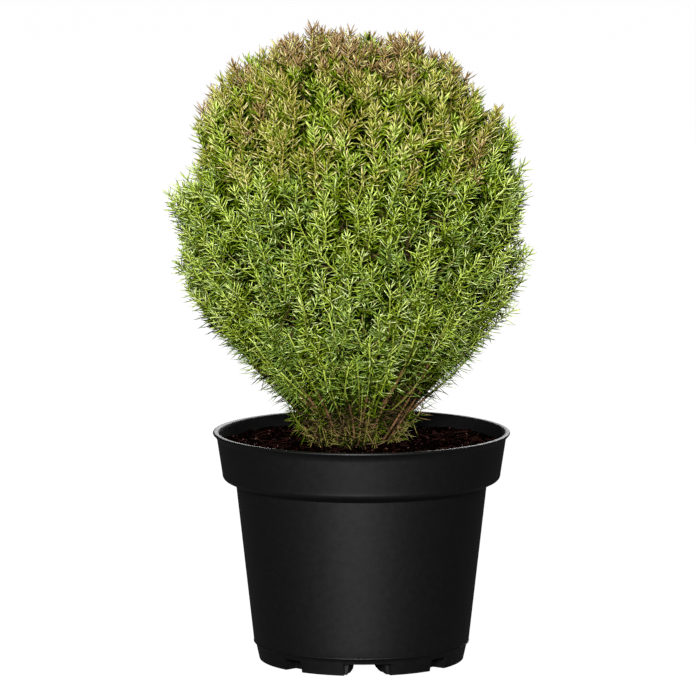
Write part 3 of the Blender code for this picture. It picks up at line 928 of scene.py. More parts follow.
@dataclass
class Needles:
    """Needles as arrays: where each starts, its direction, its upper side, its size, tint and mass."""

    base: Array
    along: Array
    upward: Array
    length: Array
    width: Array
    slot: Array
    home: Array
    slim: Array

    def of(self, chosen: Array) -> Needles:
        """Returns the chosen needles."""
        return Needles(*(getattr(self, name)[chosen] for name in self.__dataclass_fields__))

    @classmethod
    def joined(cls, parts: Sequence[Needles]) -> Needles:
        """Returns several sets of needles as one."""
        names = cls.__dataclass_fields__
        return cls(*(np.concatenate([getattr(part, name) for part in parts]) for name in names))

    def facets(self) -> Facets:
        """Each needle as a closed three-sided blade of seven points and ten triangles.

        A ring of left, right and keel stands at its base and another at 0.60 of its length, and the tip
        is a point. The second ring is pushed to the underside by 0.020 of the length, so that the needle
        curves up a little.

        Returns:
            The needles' triangles.
        """
        across = np.cross(self.upward, self.along)
        length, half = self.length[:, None], self.width[:, None] / 2
        corners = []
        for share, sag, breadth in NEEDLE_RINGS:
            middle = self.base + share * length * self.along - sag * length * self.upward
            ridge = middle + EDGE_RISE * breadth * half * self.upward
            corners += [ridge - breadth * half * across, ridge + breadth * half * across]
            corners += [middle - KEEL_DROP * breadth * half * self.upward]
        corners += [self.base + length * self.along]
        return self.repeated(corners, NEEDLE_FACES)

    def slim_facets(self) -> Facets:
        """Each needle as two three-sided points, base to base at 0.4 of its length: six triangles.

        Returns:
            The needles' triangles.
        """
        across = np.cross(self.upward, self.along)
        length, half = self.length[:, None], self.width[:, None] / 2
        middle = self.base + SLIM_MIDDLE * length * self.along
        keel = middle - SLIM_KEEL * half * self.upward
        left, right = middle - half * across, middle + half * across
        return self.repeated([self.base, left, right, keel, self.base + length * self.along], SLIM_FACES)

    def repeated(self, corners: Sequence[Array], faces: Sequence[Sequence[int]]) -> Facets:
        """Returns the same faces on every needle's corners, in the needle's tint."""
        return Facets.repeated(np.stack(corners, axis=1), faces, np.repeat(self.slot, len(faces)))


@dataclass
class Shoots:
    """A batch of shoots of one habit: their curves, scale, colouring and mass."""

    habit: Habit
    paths: Array
    scale: Array
    colouring: Array
    home: Array

    def of(self, chosen: Array) -> Shoots:
        """Returns the chosen shoots."""
        held = (self.paths, self.scale, self.colouring, self.home)
        return Shoots(self.habit, *(values[chosen] for values in held))

    @property
    def lengths(self) -> Array:
        """Each curve's length: the sum of its steps."""
        return np.linalg.norm(np.diff(self.paths, axis=1), axis=2).sum(axis=1)

    def stems(self) -> Facets:
        """The stems as tubes that taper to their tips: bare, then young, then green among the needles.

        Returns:
            The stems' triangles.
        """
        habit = self.habit
        share = np.linspace(0, 1, self.paths.shape[1])
        radii = habit.stem_start + (habit.stem_tip - habit.stem_start) * share
        back = (1 - share[None, 1:]) * self.lengths[:, None]
        height = self.paths[:, 1:, 2]
        bare = (back > habit.needled * habit.bare_from) | (height < habit.aged_below - habit.bare_drop)
        young = (back > habit.needled * habit.young_from) | (height < habit.aged_below)
        young |= (self.colouring >= DULL)[:, None]
        green = np.where(self.colouring <= BRONZED, slot_of(Tone.BRONZE), slot_of(Tone.SPRIG))
        slots = np.select([bare, young], [slot_of(habit.bare), slot_of(Tone.STEM)], green[:, None])
        return tubes(self.paths, radii[None] * np.sqrt(self.scale)[:, None], habit.sides, slots)

    def needles(self, colourings: Array, rng: np.random.Generator) -> Needles:
        """Needles in pairs, each pair square to the one before it, drawn together at the tip.

        A pair's place back from the tip is n pitch (r + (1 - r) (1 - e^(-n/3))), where r is the closeness
        at the tip, and its angle to the stem opens with it from the tip's to the body's.

        Args:
            colourings: Shape (colourings, 4), the slots of a shoot's tip, upper, lower and oldest needles.
            rng: The seeded source of chance.

        Returns:
            The shoots' needles.
        """
        habit = self.habit
        pairs = (len(self.paths), habit.pairs)
        blades = (*pairs, 2)
        number = np.arange(habit.pairs)
        scale, tip = self.scale[:, None], self.paths[:, -1, 2:]
        high, thin = habit.sunlit.share(tip), habit.thin.share(tip)
        closeness = eased(habit.tip_closeness, 1, number / habit.closing_pairs)
        spacing = 1 - habit.sunlit_closer * high + habit.thin_wider * thin
        places = 1 - number * habit.pitch * closeness * scale * spacing / self.lengths[:, None]
        spots, along = sampled(self.paths, places)
        side, other = squared(along, unit(rng.normal(size=(len(self.paths), 1, 3))))
        turn = number * (math.pi / 2) + rng.normal(0, habit.pair_stray, pairs)
        turn = turn[..., None] + np.array([0.0, math.pi])
        turn = turn + rng.normal(0, habit.blade_stray, blades)
        out = around(side[:, :, None], other[:, :, None], turn)
        opened = eased(0, 1, number / habit.opening_pairs)
        opening = habit.tip_angle + (habit.open_angle - habit.tip_angle) * opened
        opening = opening[None] - habit.sunlit_upright * high * opened[None]
        stray = habit.angle_stray * (1 - habit.sunlit_steadier * high[..., None])
        angle = opening[..., None] + stray * rng.normal(size=blades)
        stem = along[:, :, None]
        direction = unit(around(stem, out, angle) + rng.normal(0, habit.way_stray, (*blades, 3)))
        upward = np.cross(direction, unit(np.cross(stem, direction)))
        grown = eased(habit.tip_length, 1, number / habit.growing_pairs)
        length = habit.needle_length * grown[None, :, None] * scale[..., None]
        length = length * rng.uniform(*habit.length_range, blades)
        width = habit.needle_width * rng.uniform(*habit.width_range, blades)
        width = width * (1 + habit.sunlit_broader * high[..., None])
        low = habit.low.share(spots[..., 2:])
        length, width = length * (1 + habit.low_longer * low), width * (1 - habit.low_narrower * low)
        slot = self.tints(colourings, spots[..., 2:], rng)
        base = np.broadcast_to(spots[:, :, None], direction.shape)
        home, on_stem = (np.broadcast_to(each, blades).ravel() for each in (
            self.home[:, None, None], (places > STEM_START)[:, :, None]
        ))
        vectors = (array.reshape(-1, 3) for array in (base, direction, upward))
        measures = (array.ravel() for array in (length, width, slot))
        return Needles(*vectors, *measures, home, np.full(slot.size, habit.slim)).of(on_stem)

    def tints(self, colourings: Array, height: Array, rng: np.random.Generator) -> Array:
        """Deals needles their tints by their stage on the shoot, with chance, and some a pale one: pale
        undersides and painted highlights.

        Args:
            colourings: Shape (colourings, 4), the slots of a shoot's tip, upper, lower and oldest needles.
            height: Shape (shoots, pairs, 1), the pairs' heights.
            rng: The seeded source of chance.

        Returns:
            Shape (shoots, pairs, 2), the needles' slots.
        """
        habit = self.habit
        aged = height + rng.normal(0, habit.aged_stray, (len(height), 1, 1)) < habit.aged_below
        strays = rng.random((len(height), habit.pairs, 2))
        stage = np.digitize(np.arange(habit.pairs) / habit.pairs, habit.stages)[None, :, None]
        stage = np.minimum(stage + aged + (strays < habit.early_share), colourings.shape[1] - 1)
        slot = colourings[self.colouring[:, None, None], stage]
        tip = self.paths[:, -1, 2]
        fewer = habit.thin_fewer_pale * habit.thin.share(tip)[:, None, None]
        dark = np.isin(slot, [slot_of(tone) for tone in (Tone.SHADE, Tone.MOSS, Tone.WOOD, Tone.DEAD)])
        # Painted highlights: some needles that are not dark take a pale tint, cream on warm shoots and high
        # up.
        pale = (strays > 1 - habit.pale_highlight_share * (1 - fewer)) & ~dark
        warm = (self.colouring <= STRAWED) | (habit.sunlit.share(tip) > habit.cream_highlight_above)
        light = np.where(warm, slot_of(Tone.CREAM_HIGHLIGHT), slot_of(Tone.PALE_HIGHLIGHT))
        return np.where(pale, light[:, None, None], slot)


PROUD_TIPS = np.array(
    [
        (-0.031, -0.010, 0.4052), (-0.080, -0.020, 0.3825), (-0.1220, -0.004, 0.2995),
        (0.102, -0.010, 0.3180), (0.1025, -0.006, 0.2640), (0.035, -0.020, 0.4000),
        (0.0935, -0.012, 0.3450), (-0.110, -0.010, 0.2400), (0.096, -0.010, 0.2260),
    ]
)
# Each row holds the tints of a shoot's tip, upper, lower and oldest needles. The near-black shade tint in
# them is painted shade.
COLOURINGS = (
    (Tone.ROSE, Tone.RUST, Tone.OLIVE, Tone.MOSS),
    (Tone.BRONZE, Tone.OLIVE, Tone.OLIVE, Tone.MOSS),
    (Tone.STRAW, Tone.OLIVE, Tone.LEAF, Tone.MOSS),
    (Tone.LIME, Tone.FRESH, Tone.LEAF, Tone.MOSS),
    (Tone.LIME, Tone.LEAF, Tone.MOSS, Tone.MOSS),
    (Tone.FRESH, Tone.LEAF, Tone.MOSS, Tone.SHADE),
    (Tone.FRESH, Tone.BLUE, Tone.BLUE, Tone.SHADE),
    (Tone.BLUE, Tone.BLUE, Tone.MOSS, Tone.SHADE),
    # Painted shade for shoots deep in the crown.
    (Tone.MOSS, Tone.SHADE, Tone.SHADE, Tone.SHADE),
    (Tone.MOSS, Tone.SHADE, Tone.WOOD, Tone.WOOD),
    (Tone.MOSS, Tone.MOSS, Tone.DEAD, Tone.MOSS),
    (Tone.MOSS, Tone.DEAD, Tone.STEM, Tone.WOOD),
    # Painted shade for shoots at the crown's foot: near black, with some moss and wood.
    (Tone.MOSS, Tone.MOSS, Tone.SHADE, Tone.WOOD),
)
ROSE, BRONZED, STRAWED, LIMED, FRESHENED, GREEN, COOL, DULL, SHADED, DRY, BASAL, BASAL_DRY, FOOT_SHADE = range(13)


@dataclass(frozen=True)
class Dealing:
    """How shoots are dealt their colouring: bronze at the sunlit top, greens below, and darker ones within,
    for older growth and as painted shade.
    """

    middle: float = -0.008
    flank_out: Band = Band(0.070, 0.03)
    flank_up: Band = Band(0.31, 0.04)
    bronzed: Band = Band(0.343, 0.042)
    flank_bronze: float = 0.28
    stray_bronze: float = 0.012
    bright_above: float = 0.30
    rosy: Band = Band(0.370, 0.020)
    least_rosy: float = 0.04
    rosy_share: float = 0.80
    flank_rosy: float = 0.30
    strawed_share: float = 0.25
    strawed_below: float = 0.385
    outer_depth: float = 0.0115
    cool_share: float = 0.5
    zone_floors: Triple = (0.315, 0.225, 0.180)
    zones: tuple[tuple[int, ...], ...] = (
        (BRONZED, STRAWED, STRAWED, STRAWED, LIMED, FRESHENED, FRESHENED, GREEN),
        (LIMED, LIMED, FRESHENED, FRESHENED, FRESHENED, GREEN, GREEN, COOL),
        (LIMED, FRESHENED, FRESHENED, GREEN, GREEN, COOL, COOL, COOL),
        (FRESHENED, GREEN, COOL, COOL, COOL, COOL, DULL, DULL),
    )

    def deal(self, goals: Array, depth: Array, rng: np.random.Generator) -> Array:
        """Deals each shoot its tints by its height, side and depth, with chance.

        Args:
            goals: Where the shoots end.
            depth: How far inside the outline they end, in metres.
            rng: The seeded source of chance.

        Returns:
            The place of each shoot's colouring.
        """
        count, height = len(goals), goals[:, 2]
        chance = rng.random(count)
        far = np.hypot(goals[:, 0] - self.middle, goals[:, 1])
        flank = self.flank_out.share(far) * self.flank_up.share(height)
        bronze = self.bronzed.share(height) + self.flank_bronze * flank
        bronze = bronze + self.stray_bronze * (height > self.bright_above)
        zone = sum(height <= floor for floor in self.zone_floors)
        table = np.array(self.zones)
        dealt = table[zone, rng.integers(0, table.shape[1], count)]
        rosy = self.least_rosy + self.rosy_share * self.rosy.share(height) + self.flank_rosy * flank
        tinted = np.where(rng.random(count) < rosy, ROSE, BRONZED)
        strawed = self.strawed_share * (height < self.strawed_below)
        tinted = np.where(rng.random(count) < strawed, STRAWED, tinted)
        dealt = np.where(chance < bronze, tinted, dealt)
        # Shoots that end deeper than the outer depth take darker colourings, for older growth and as painted
        # shade.
        under = np.where(rng.random(count) < self.cool_share, COOL, DULL)
        within = np.where(height > self.bright_above, GREEN, under)
        return np.where(depth > self.outer_depth, within, dealt)


LEADING = Habit(
    pairs=20, pitch=0.00180, needle_length=0.0102, needle_width=0.00080,
    stem_start=0.00052, stem_tip=0.00038, open_angle=math.radians(66),
    tip_angle=math.radians(26), points=7, sides=4,
)
SIDE = Habit(
    pairs=9, pitch=0.00175, needle_length=0.0090, needle_width=0.00076,
    stem_start=0.00040, stem_tip=0.00032, open_angle=math.radians(66),
    tip_angle=math.radians(26), points=5, sides=4,
)
OLD = Habit(
    pairs=18, pitch=0.00190, needle_length=0.0100, needle_width=0.00160,
    stem_start=0.00070, stem_tip=0.00045, open_angle=math.radians(66),
    tip_angle=math.radians(30), points=5, sides=3, slim=True,
)
HIDDEN = Habit(
    pairs=16, pitch=0.00260, needle_length=0.0130, needle_width=0.00230,
    stem_start=0.00080, stem_tip=0.00050, open_angle=math.radians(70),
    tip_angle=math.radians(35), points=5, sides=3, slim=True, pale_highlight_share=0.0,
)
LOW = Habit(
    pairs=26, pitch=0.00150, needle_length=0.0100, needle_width=0.00076,
    stem_start=0.00050, stem_tip=0.00030, open_angle=math.radians(72),
    tip_angle=math.radians(18), points=7, sides=4, stages=(0.20, 0.45, 0.70),
    angle_stray=0.40, way_stray=0.36, pale_highlight_share=0.05, aged_below=0.0,
)
TALL = Habit(
    pairs=24, pitch=0.00195, needle_length=0.0092, needle_width=0.00070,
    stem_start=0.00095, stem_tip=0.00050, open_angle=math.radians(72),
    tip_angle=math.radians(30), points=9, sides=4, stages=(0.20, 0.50, 0.80),
    angle_stray=0.20, way_stray=0.08, bare=Tone.TWIG,
)


class Filling(NamedTuple):
    """A batch of older shoots: how many, the least and the most depth of their tips, and their habit."""

    count: int
    depths: Pair
    habit: Habit


@dataclass(frozen=True)
class SideGrowth:
    """Sizes of the side shoots. Back and reach hold the first one's, and how much more the next one has."""

    each: int = 2
    leads_above: float = 0.204
    back: Pair = (0.0130, 0.0090)
    back_range: Pair = (0.85, 1.15)
    reach: Pair = (0.0160, 0.0020)
    reach_range: Pair = (0.8, 1.2)
    turn_stray: float = 0.5
    spread: float = 1.25
    end_shares: Pair = (0.72, 0.28)
    arrival_shares: Pair = (0.4, 0.6)
    bends: Pair = (0.36, 0.34)
    inset: float = 0.0095
    below_top: float = 0.008
    bright_above: float = 0.330


@dataclass(frozen=True)
class BasalGrowth:
    """Sizes of the short shoots that rise from the substrate round the trunk."""

    count: int = 72
    azimuth_stray: float = 0.18
    ring: Pair = (0.008, 0.029)
    fan_drop: float = 0.055
    way_stray: float = 0.006
    reach: Pair = (0.020, 0.036)
    lift: float = 0.6
    bends: Pair = (0.3, 0.35)
    scale: float = 0.9


@dataclass(frozen=True)
class TallGrowth:
    """Sizes of the shoots that rise from the foot along the crown's underside."""

    count: int = 112
    azimuth_stray: float = 0.10
    turn_stray: float = 0.16
    ring: Pair = (0.005, 0.022)
    lowest: float = 0.174
    rise: float = 0.060
    rise_power: float = 0.8
    depths: Pair = (0.0030, 0.0110)
    slope_step: float = 0.012
    way_stray: float = 0.0016
    steepness: float = 1.4
    bend: float = 0.36


@dataclass(frozen=True)
class TwigletGrowth:
    """Sizes of last year's bare twiglets."""

    count: int = 1000
    start: Pair = (0.1, 1.0)
    way_stray: float = 0.65
    reach: Pair = (0.010, 0.026)
    inset: float = 0.010
    bends: Pair = (0.4, 0.2)
    radii: Pair = (0.00055, 0.00030)
    points: int = 4
    sides: int = 3


@dataclass
class Foliage:
    """Sprays over the crown: leading shoots, their side shoots, older ones within and basal ones below."""

    crown: Crown
    framework: Framework
    dealing: Dealing = Dealing()
    side_growth: SideGrowth = SideGrowth()
    basal_growth: BasalGrowth = BasalGrowth()
    tall_growth: TallGrowth = TallGrowth()
    twiglets: TwigletGrowth = TwigletGrowth()
    fillings: tuple[Filling, ...] = (
        Filling(1150, (0.011, 0.036), OLD),
        Filling(430, (0.040, 0.085), HIDDEN),
    )
    seed: int = 1907
    piece_triangles: int = 190_000
    twig_sides: int = 5
    bend: float = 0.38
    sprays: int = 620
    lowest: float = 0.186
    spray_stray: float = 0.02
    spray_start: Pair = (0.55, 1.0)
    spray_way: float = 0.14
    spray_heights: Pair = (0.165, 0.205)
    spray_scales: Pair = (0.85, 1.0)
    spray_range: Pair = (0.88, 1.08)
    depth_ranks: tuple[float, ...] = (0.0, 0.35, 0.70, 1.0)
    depths: tuple[float, ...] = (0.0034, 0.0052, 0.0088, 0.0155)
    hollow_rank: float = 0.50
    low: Band = Band(0.215, -0.030)
    low_inset: float = 0.0090
    left_deeper: float = 0.4
    crest: Band = Band(0.37, 0.02)
    crest_inset: float = 0.0014
    filling_turn: float = 30.0
    filling_start: Pair = (0.2, 0.7)
    filling_way: float = 0.35
    filling_heights: Pair = (0.145, 0.205)
    filling_scales: Pair = (0.6, 1.0)
    shallow: Band = Band(0.15, 0.06)
    shallowest: float = 0.6
    # Below this height most filling shoots take the near-black foot colouring, as painted shade.
    foot_shade_below: float = 0.210
    foot_shade_share: float = 0.85
    clumps: int = 6
    first_clump: float = math.radians(-75)
    clumping: float = 0.8
    foot_height: float = 0.1405
    foot_shift: Triple = (0.0025, 0.0, 0.0)

    def __post_init__(self) -> None:
        """Starts the seeded source of chance, and places the twigs by its first draws."""
        self.rng = np.random.default_rng(self.seed)
        self.twigs = self.framework.make_twigs(self.rng)

    def gathered(self, azimuth: Array, share: Array | float) -> Array:
        """Draws azimuths towards the middles of the clumps at the foot, by a sine of the way to them."""
        towards = self.clumps * (azimuth - self.first_clump)
        return azimuth - self.clumping * share * np.sin(towards) / self.clumps

    def at_foot(self, azimuth: Array, radius: Array) -> Array:
        """Returns places on the substrate, round the middle of the crown's foot."""
        middle = self.crown.axis(np.full(len(azimuth), self.foot_height)) + np.array(self.foot_shift)
        return middle + radius[:, None] * spokes(azimuth)

    def grown(self, goal: Array, points: int, span: Pair, way_stray: float) -> Array:
        """Cubic curves to goals from random places on the twigs nearest to them.

        Args:
            goal: Where the curves end.
            points: How many points each has.
            span: The shares of a twig's length that they start between.
            way_stray: How far their last direction strays from the fan's.

        Returns:
            Shape (goals, points, 3).
        """
        start, along = picked(self.twigs.paths[nearest(self.twigs.goals, goal)], span, self.rng)
        lie = unit(self.framework.fan(goal) + self.rng.normal(0, way_stray, goal.shape))
        ease = self.bend * np.linalg.norm(goal - start, axis=1, keepdims=True)
        return cubic(start, start + along * ease, goal - lie * ease, goal, points)

    def lead(self) -> Shoots:
        """Leading shoots: they end near goals spread evenly over the outline, some at tips that stand proud.

        Most end a few millimetres inside it. Low down they end deeper and gather in clumps, and on the
        open flanks the inner half of them ends deeper too.

        Returns:
            The shoots.
        """
        azimuth, height = self.crown.goals(self.sprays, self.rng, self.lowest)
        azimuth = azimuth + self.rng.normal(0, self.spray_stray, self.sprays)
        rank = self.rng.random(self.sprays)
        low = self.low.share(height)
        depth = np.interp(rank, self.depth_ranks, self.depths)
        depth = depth + self.low_inset * low * (1 - self.left_deeper * np.cos(azimuth))
        depth = depth + self.crest_inset * self.crest.share(height)
        depth = depth + self.crown.hollow(azimuth, height) * (rank > self.hollow_rank)
        goal = self.crown.surface(self.gathered(azimuth, low), height, depth)
        goal[nearest(goal, PROUD_TIPS)] = PROUD_TIPS
        paths = self.grown(goal, LEADING.points, self.spray_start, self.spray_way)
        scale = np.interp(goal[:, 2], self.spray_heights, self.spray_scales)
        scale = scale * self.rng.uniform(*self.spray_range, self.sprays)
        colouring = self.dealing.deal(goal, depth, self.rng)
        return Shoots(LEADING, paths, scale, colouring, self.framework.home(goal))

    def branch(self, leads: Shoots) -> Shoots:
        """Side shoots: each leaves its leading shoot at about 45 degrees and bends up to lie beside it.

        Args:
            leads: The leading shoots.

        Returns:
            The side shoots, some of a colder, darker colouring than the shoot that they leave, for older
            growth and as painted shade.
        """
        sizes = self.side_growth
        leads = leads.of(leads.paths[:, -1, 2] > sizes.leads_above)
        shape = (len(leads.paths), sizes.each)
        order = np.arange(sizes.each)
        back, reach = (
            (first + further * order)[None] * leads.scale[:, None]
            for first, further in (sizes.back, sizes.reach)
        )
        back = back * self.rng.uniform(*sizes.back_range, shape)
        spots, along = sampled(leads.paths, 1 - back / leads.lengths[:, None])
        side, other = squared(along, unit(self.rng.normal(size=(shape[0], 1, 3))))
        turn = order * math.pi + self.rng.normal(0, sizes.turn_stray, shape)
        leaving = unit(along + sizes.spread * around(side, other, turn))
        reach = (reach * self.rng.uniform(*sizes.reach_range, shape))[..., None]
        reaching, arriving = (
            unit(leaving * out + along * on) for out, on in (sizes.end_shares, sizes.arrival_shares)
        )
        end = self.crown.held(spots + reach * reaching, sizes.inset)
        end[..., 2] = np.minimum(end[..., 2], self.crown.top - sizes.below_top)
        first, second = spots + leaving * reach * sizes.bends[0], end - arriving * reach * sizes.bends[1]
        paths = cubic(spots, first, second, end, SIDE.points).reshape(-1, SIDE.points, 3)
        carried = (leads.scale, leads.colouring, leads.home, leads.paths[:, -1, 2])
        scale, colouring, home, tip = (np.repeat(each, sizes.each) for each in carried)
        # Side shoots take a darker colouring than their lead, for older growth and as painted shade.
        coldest = np.where(tip > sizes.bright_above, GREEN, DULL)
        colder = np.minimum(colouring + self.rng.integers(1, 3, len(colouring)), coldest)
        colouring = np.where((colouring >= LIMED) & (colouring < DULL), colder, colouring)
        return Shoots(SIDE, paths, scale, colouring, home)

    def fill(self, filling: Filling) -> Shoots:
        """Older shoots that end well inside the outline, in dark tints that are painted shade, near black at
        the foot.

        Args:
            filling: How many there are, how deep they end and how they grow.

        Returns:
            The shoots.
        """
        count, depths, habit = filling
        azimuth, height = self.crown.goals(count, self.rng, self.crown.foot)
        azimuth = azimuth + depths[1] * self.filling_turn
        depth = self.rng.uniform(*depths, count) * np.maximum(self.shallow.share(height), self.shallowest)
        goal = self.crown.surface(azimuth, height, depth + self.crown.hollow(azimuth, height))
        paths = self.grown(goal, habit.points, self.filling_start, self.filling_way)
        scale = np.interp(goal[:, 2], self.filling_heights, self.filling_scales)
        # The filling shoots' dark colourings are painted shade, near black at the foot.
        colouring = self.rng.choice([SHADED, SHADED, SHADED, SHADED, DULL, DRY], count)
        foot_shaded = (height < self.foot_shade_below) & (self.rng.random(count) < self.foot_shade_share)
        return Shoots(habit, paths, scale, np.where(foot_shaded, FOOT_SHADE, colouring), self.framework.home(goal))

    def rise(self) -> Shoots:
        """Basal shoots: they rise from the substrate round the trunk and fan out to the crown's foot.

        Returns:
            The shoots.
        """
        sizes, rng, count = self.basal_growth, self.rng, self.basal_growth.count
        azimuth = self.first_clump + (np.arange(count) % self.clumps) * math.tau / self.clumps
        azimuth = azimuth + rng.normal(0, sizes.azimuth_stray, count)
        start = self.at_foot(azimuth, rng.uniform(*sizes.ring, count))
        below = self.crown.axis(np.full(count, self.foot_height - sizes.fan_drop))
        lie = unit(start - below + rng.normal(0, sizes.way_stray, start.shape))
        reach = rng.uniform(*sizes.reach, (count, 1))
        goal = start + lie * reach
        second = goal - unit(lie + sizes.lift * UP) * reach * sizes.bends[1]
        paths = cubic(start, start + lie * reach * sizes.bends[0], second, goal, LOW.points)
        # Some basal shoots take the shaded and the near-black foot colourings, as painted shade.
        colouring = rng.choice([BASAL, BASAL_DRY, BASAL_DRY, SHADED, FOOT_SHADE], count)
        return Shoots(LOW, paths, np.full(count, sizes.scale), colouring, self.framework.home(goal))

    def ascend(self) -> Shoots:
        """Tall basal shoots: they rise from the foot along the crown's underside, their stems in view.

        Returns:
            The shoots.
        """
        sizes, rng, count = self.tall_growth, self.rng, self.tall_growth.count
        azimuth = np.arange(count) * GOLDEN_ANGLE + rng.normal(0, sizes.azimuth_stray, count)
        from_turn = self.gathered(azimuth, 1.0) + rng.normal(0, sizes.turn_stray, count)
        start = self.at_foot(from_turn, rng.uniform(*sizes.ring, count))
        height = sizes.lowest + sizes.rise * rng.random(count) ** sizes.rise_power
        depth = rng.uniform(*sizes.depths, count)
        goal = self.crown.surface(azimuth, height, depth)
        below = self.crown.surface(azimuth, height - sizes.slope_step, depth)
        lie = unit(goal - below + rng.normal(0, sizes.way_stray, goal.shape))
        reach = np.linalg.norm(goal - start, axis=1, keepdims=True)
        first = start + unit(spokes(from_turn) + sizes.steepness * UP) * reach * sizes.bend
        paths = cubic(start, first, goal - lie * reach * sizes.bend, goal, TALL.points)
        colouring = rng.choice([FRESHENED, GREEN, COOL, COOL, COOL, DULL], count)
        return Shoots(TALL, paths, np.full(count, 1.0), colouring, self.framework.home(goal))

    def fine(self) -> Facets:
        """Bare twiglets of last year's growth: thin cubic curves off the twigs, between the sprays.

        Returns:
            The twiglets' triangles.
        """
        sizes, rng, count = self.twiglets, self.rng, self.twiglets.count
        chosen = rng.integers(0, len(self.twigs.paths), count)
        start, along = picked(self.twigs.paths[chosen], sizes.start, rng)
        away = unit(along + rng.normal(0, sizes.way_stray, start.shape))
        reach = rng.uniform(*sizes.reach, (count, 1))
        end = self.crown.held(start + reach * away, sizes.inset)
        first, second = start + along * reach * sizes.bends[0], end - away * reach * sizes.bends[1]
        radii = np.linspace(*sizes.radii, sizes.points)
        return tubes(cubic(start, first, second, end, sizes.points), radii, sizes.sides, slot_of(Tone.WOOD))

    def make(self) -> None:
        """Builds the stems and the needles, in pieces that each stand for neighbouring masses."""
        leads = self.lead()
        sides = self.branch(leads)
        fillings = [self.fill(filling) for filling in self.fillings]
        batches = (leads, sides, *fillings, self.rise(), self.ascend())
        radii = np.linspace(self.framework.twig_base, self.framework.twig_tip, self.twigs.paths.shape[1])
        bare = tubes(self.twigs.paths, radii, self.twig_sides, slot_of(Tone.WOOD))
        stems = [batch.stems() for batch in batches]
        dealt_piece("twigs", Facets.joined([bare, self.fine(), *stems]), Tone)
        colourings = np.array([[slot_of(tone) for tone in row] for row in COLOURINGS])
        needles = Needles.joined([batch.needles(colourings, self.rng) for batch in batches])
        LOG.info("%d needles", len(needles.length))
        self.make_needles(needles)

    def make_needles(self, needles: Needles) -> None:
        """Splits the needles by mass into pieces under the most triangles that one may have.

        Args:
            needles: All the needles.
        """
        faces = np.where(needles.slim, len(SLIM_FACES), len(NEEDLE_FACES))
        counts = np.bincount(needles.home, faces, len(self.framework.masses))
        groups: list[list[int]] = [[]]
        for place, count in enumerate(counts):
            if groups[-1] and counts[groups[-1]].sum() + count > self.piece_triangles:
                groups.append([])
            groups[-1].append(place)
        for number, group in enumerate(groups, 1):
            masses = [self.framework.masses[place] for place in group]
            chosen = needles.of(np.isin(needles.home, group))
            blades = [chosen.of(~chosen.slim).facets(), chosen.of(chosen.slim).slim_facets()]
            nodes = [f"foliage_{mass.name}" for mass in masses]
            dealt_piece(f"needles_{number}", Facets.joined(blades), Tone, nodes)


def value_noise(x: Array, y: Array, cell: float, seed: int) -> Array:
    """Smooth noise, -1 to 1: a seeded lattice of heights blended by 3t^2 - 2t^3 between its corners.

    Args:
        x: Places along the first axis.
        y: Places along the second.
        cell: The lattice's pitch, in metres.
        seed: What its heights are drawn from.

    Returns:
        The noise at each place.
    """
    lattice = np.random.default_rng(seed).uniform(-1, 1, (LATTICE, LATTICE))
    column, row = x / cell + LATTICE // 2, y / cell + LATTICE // 2
    left, low = np.floor(column).astype(int), np.floor(row).astype(int)
    u, v = column - left, row - low
    u, v = u * u * (3 - 2 * u), v * v * (3 - 2 * v)
    here, after = left % LATTICE, (left + 1) % LATTICE
    rows = (low % LATTICE, (low + 1) % LATTICE)
    near, far = (lattice[place, here] * (1 - u) + lattice[place, after] * u for place in rows)
    return near * (1 - v) + far * v


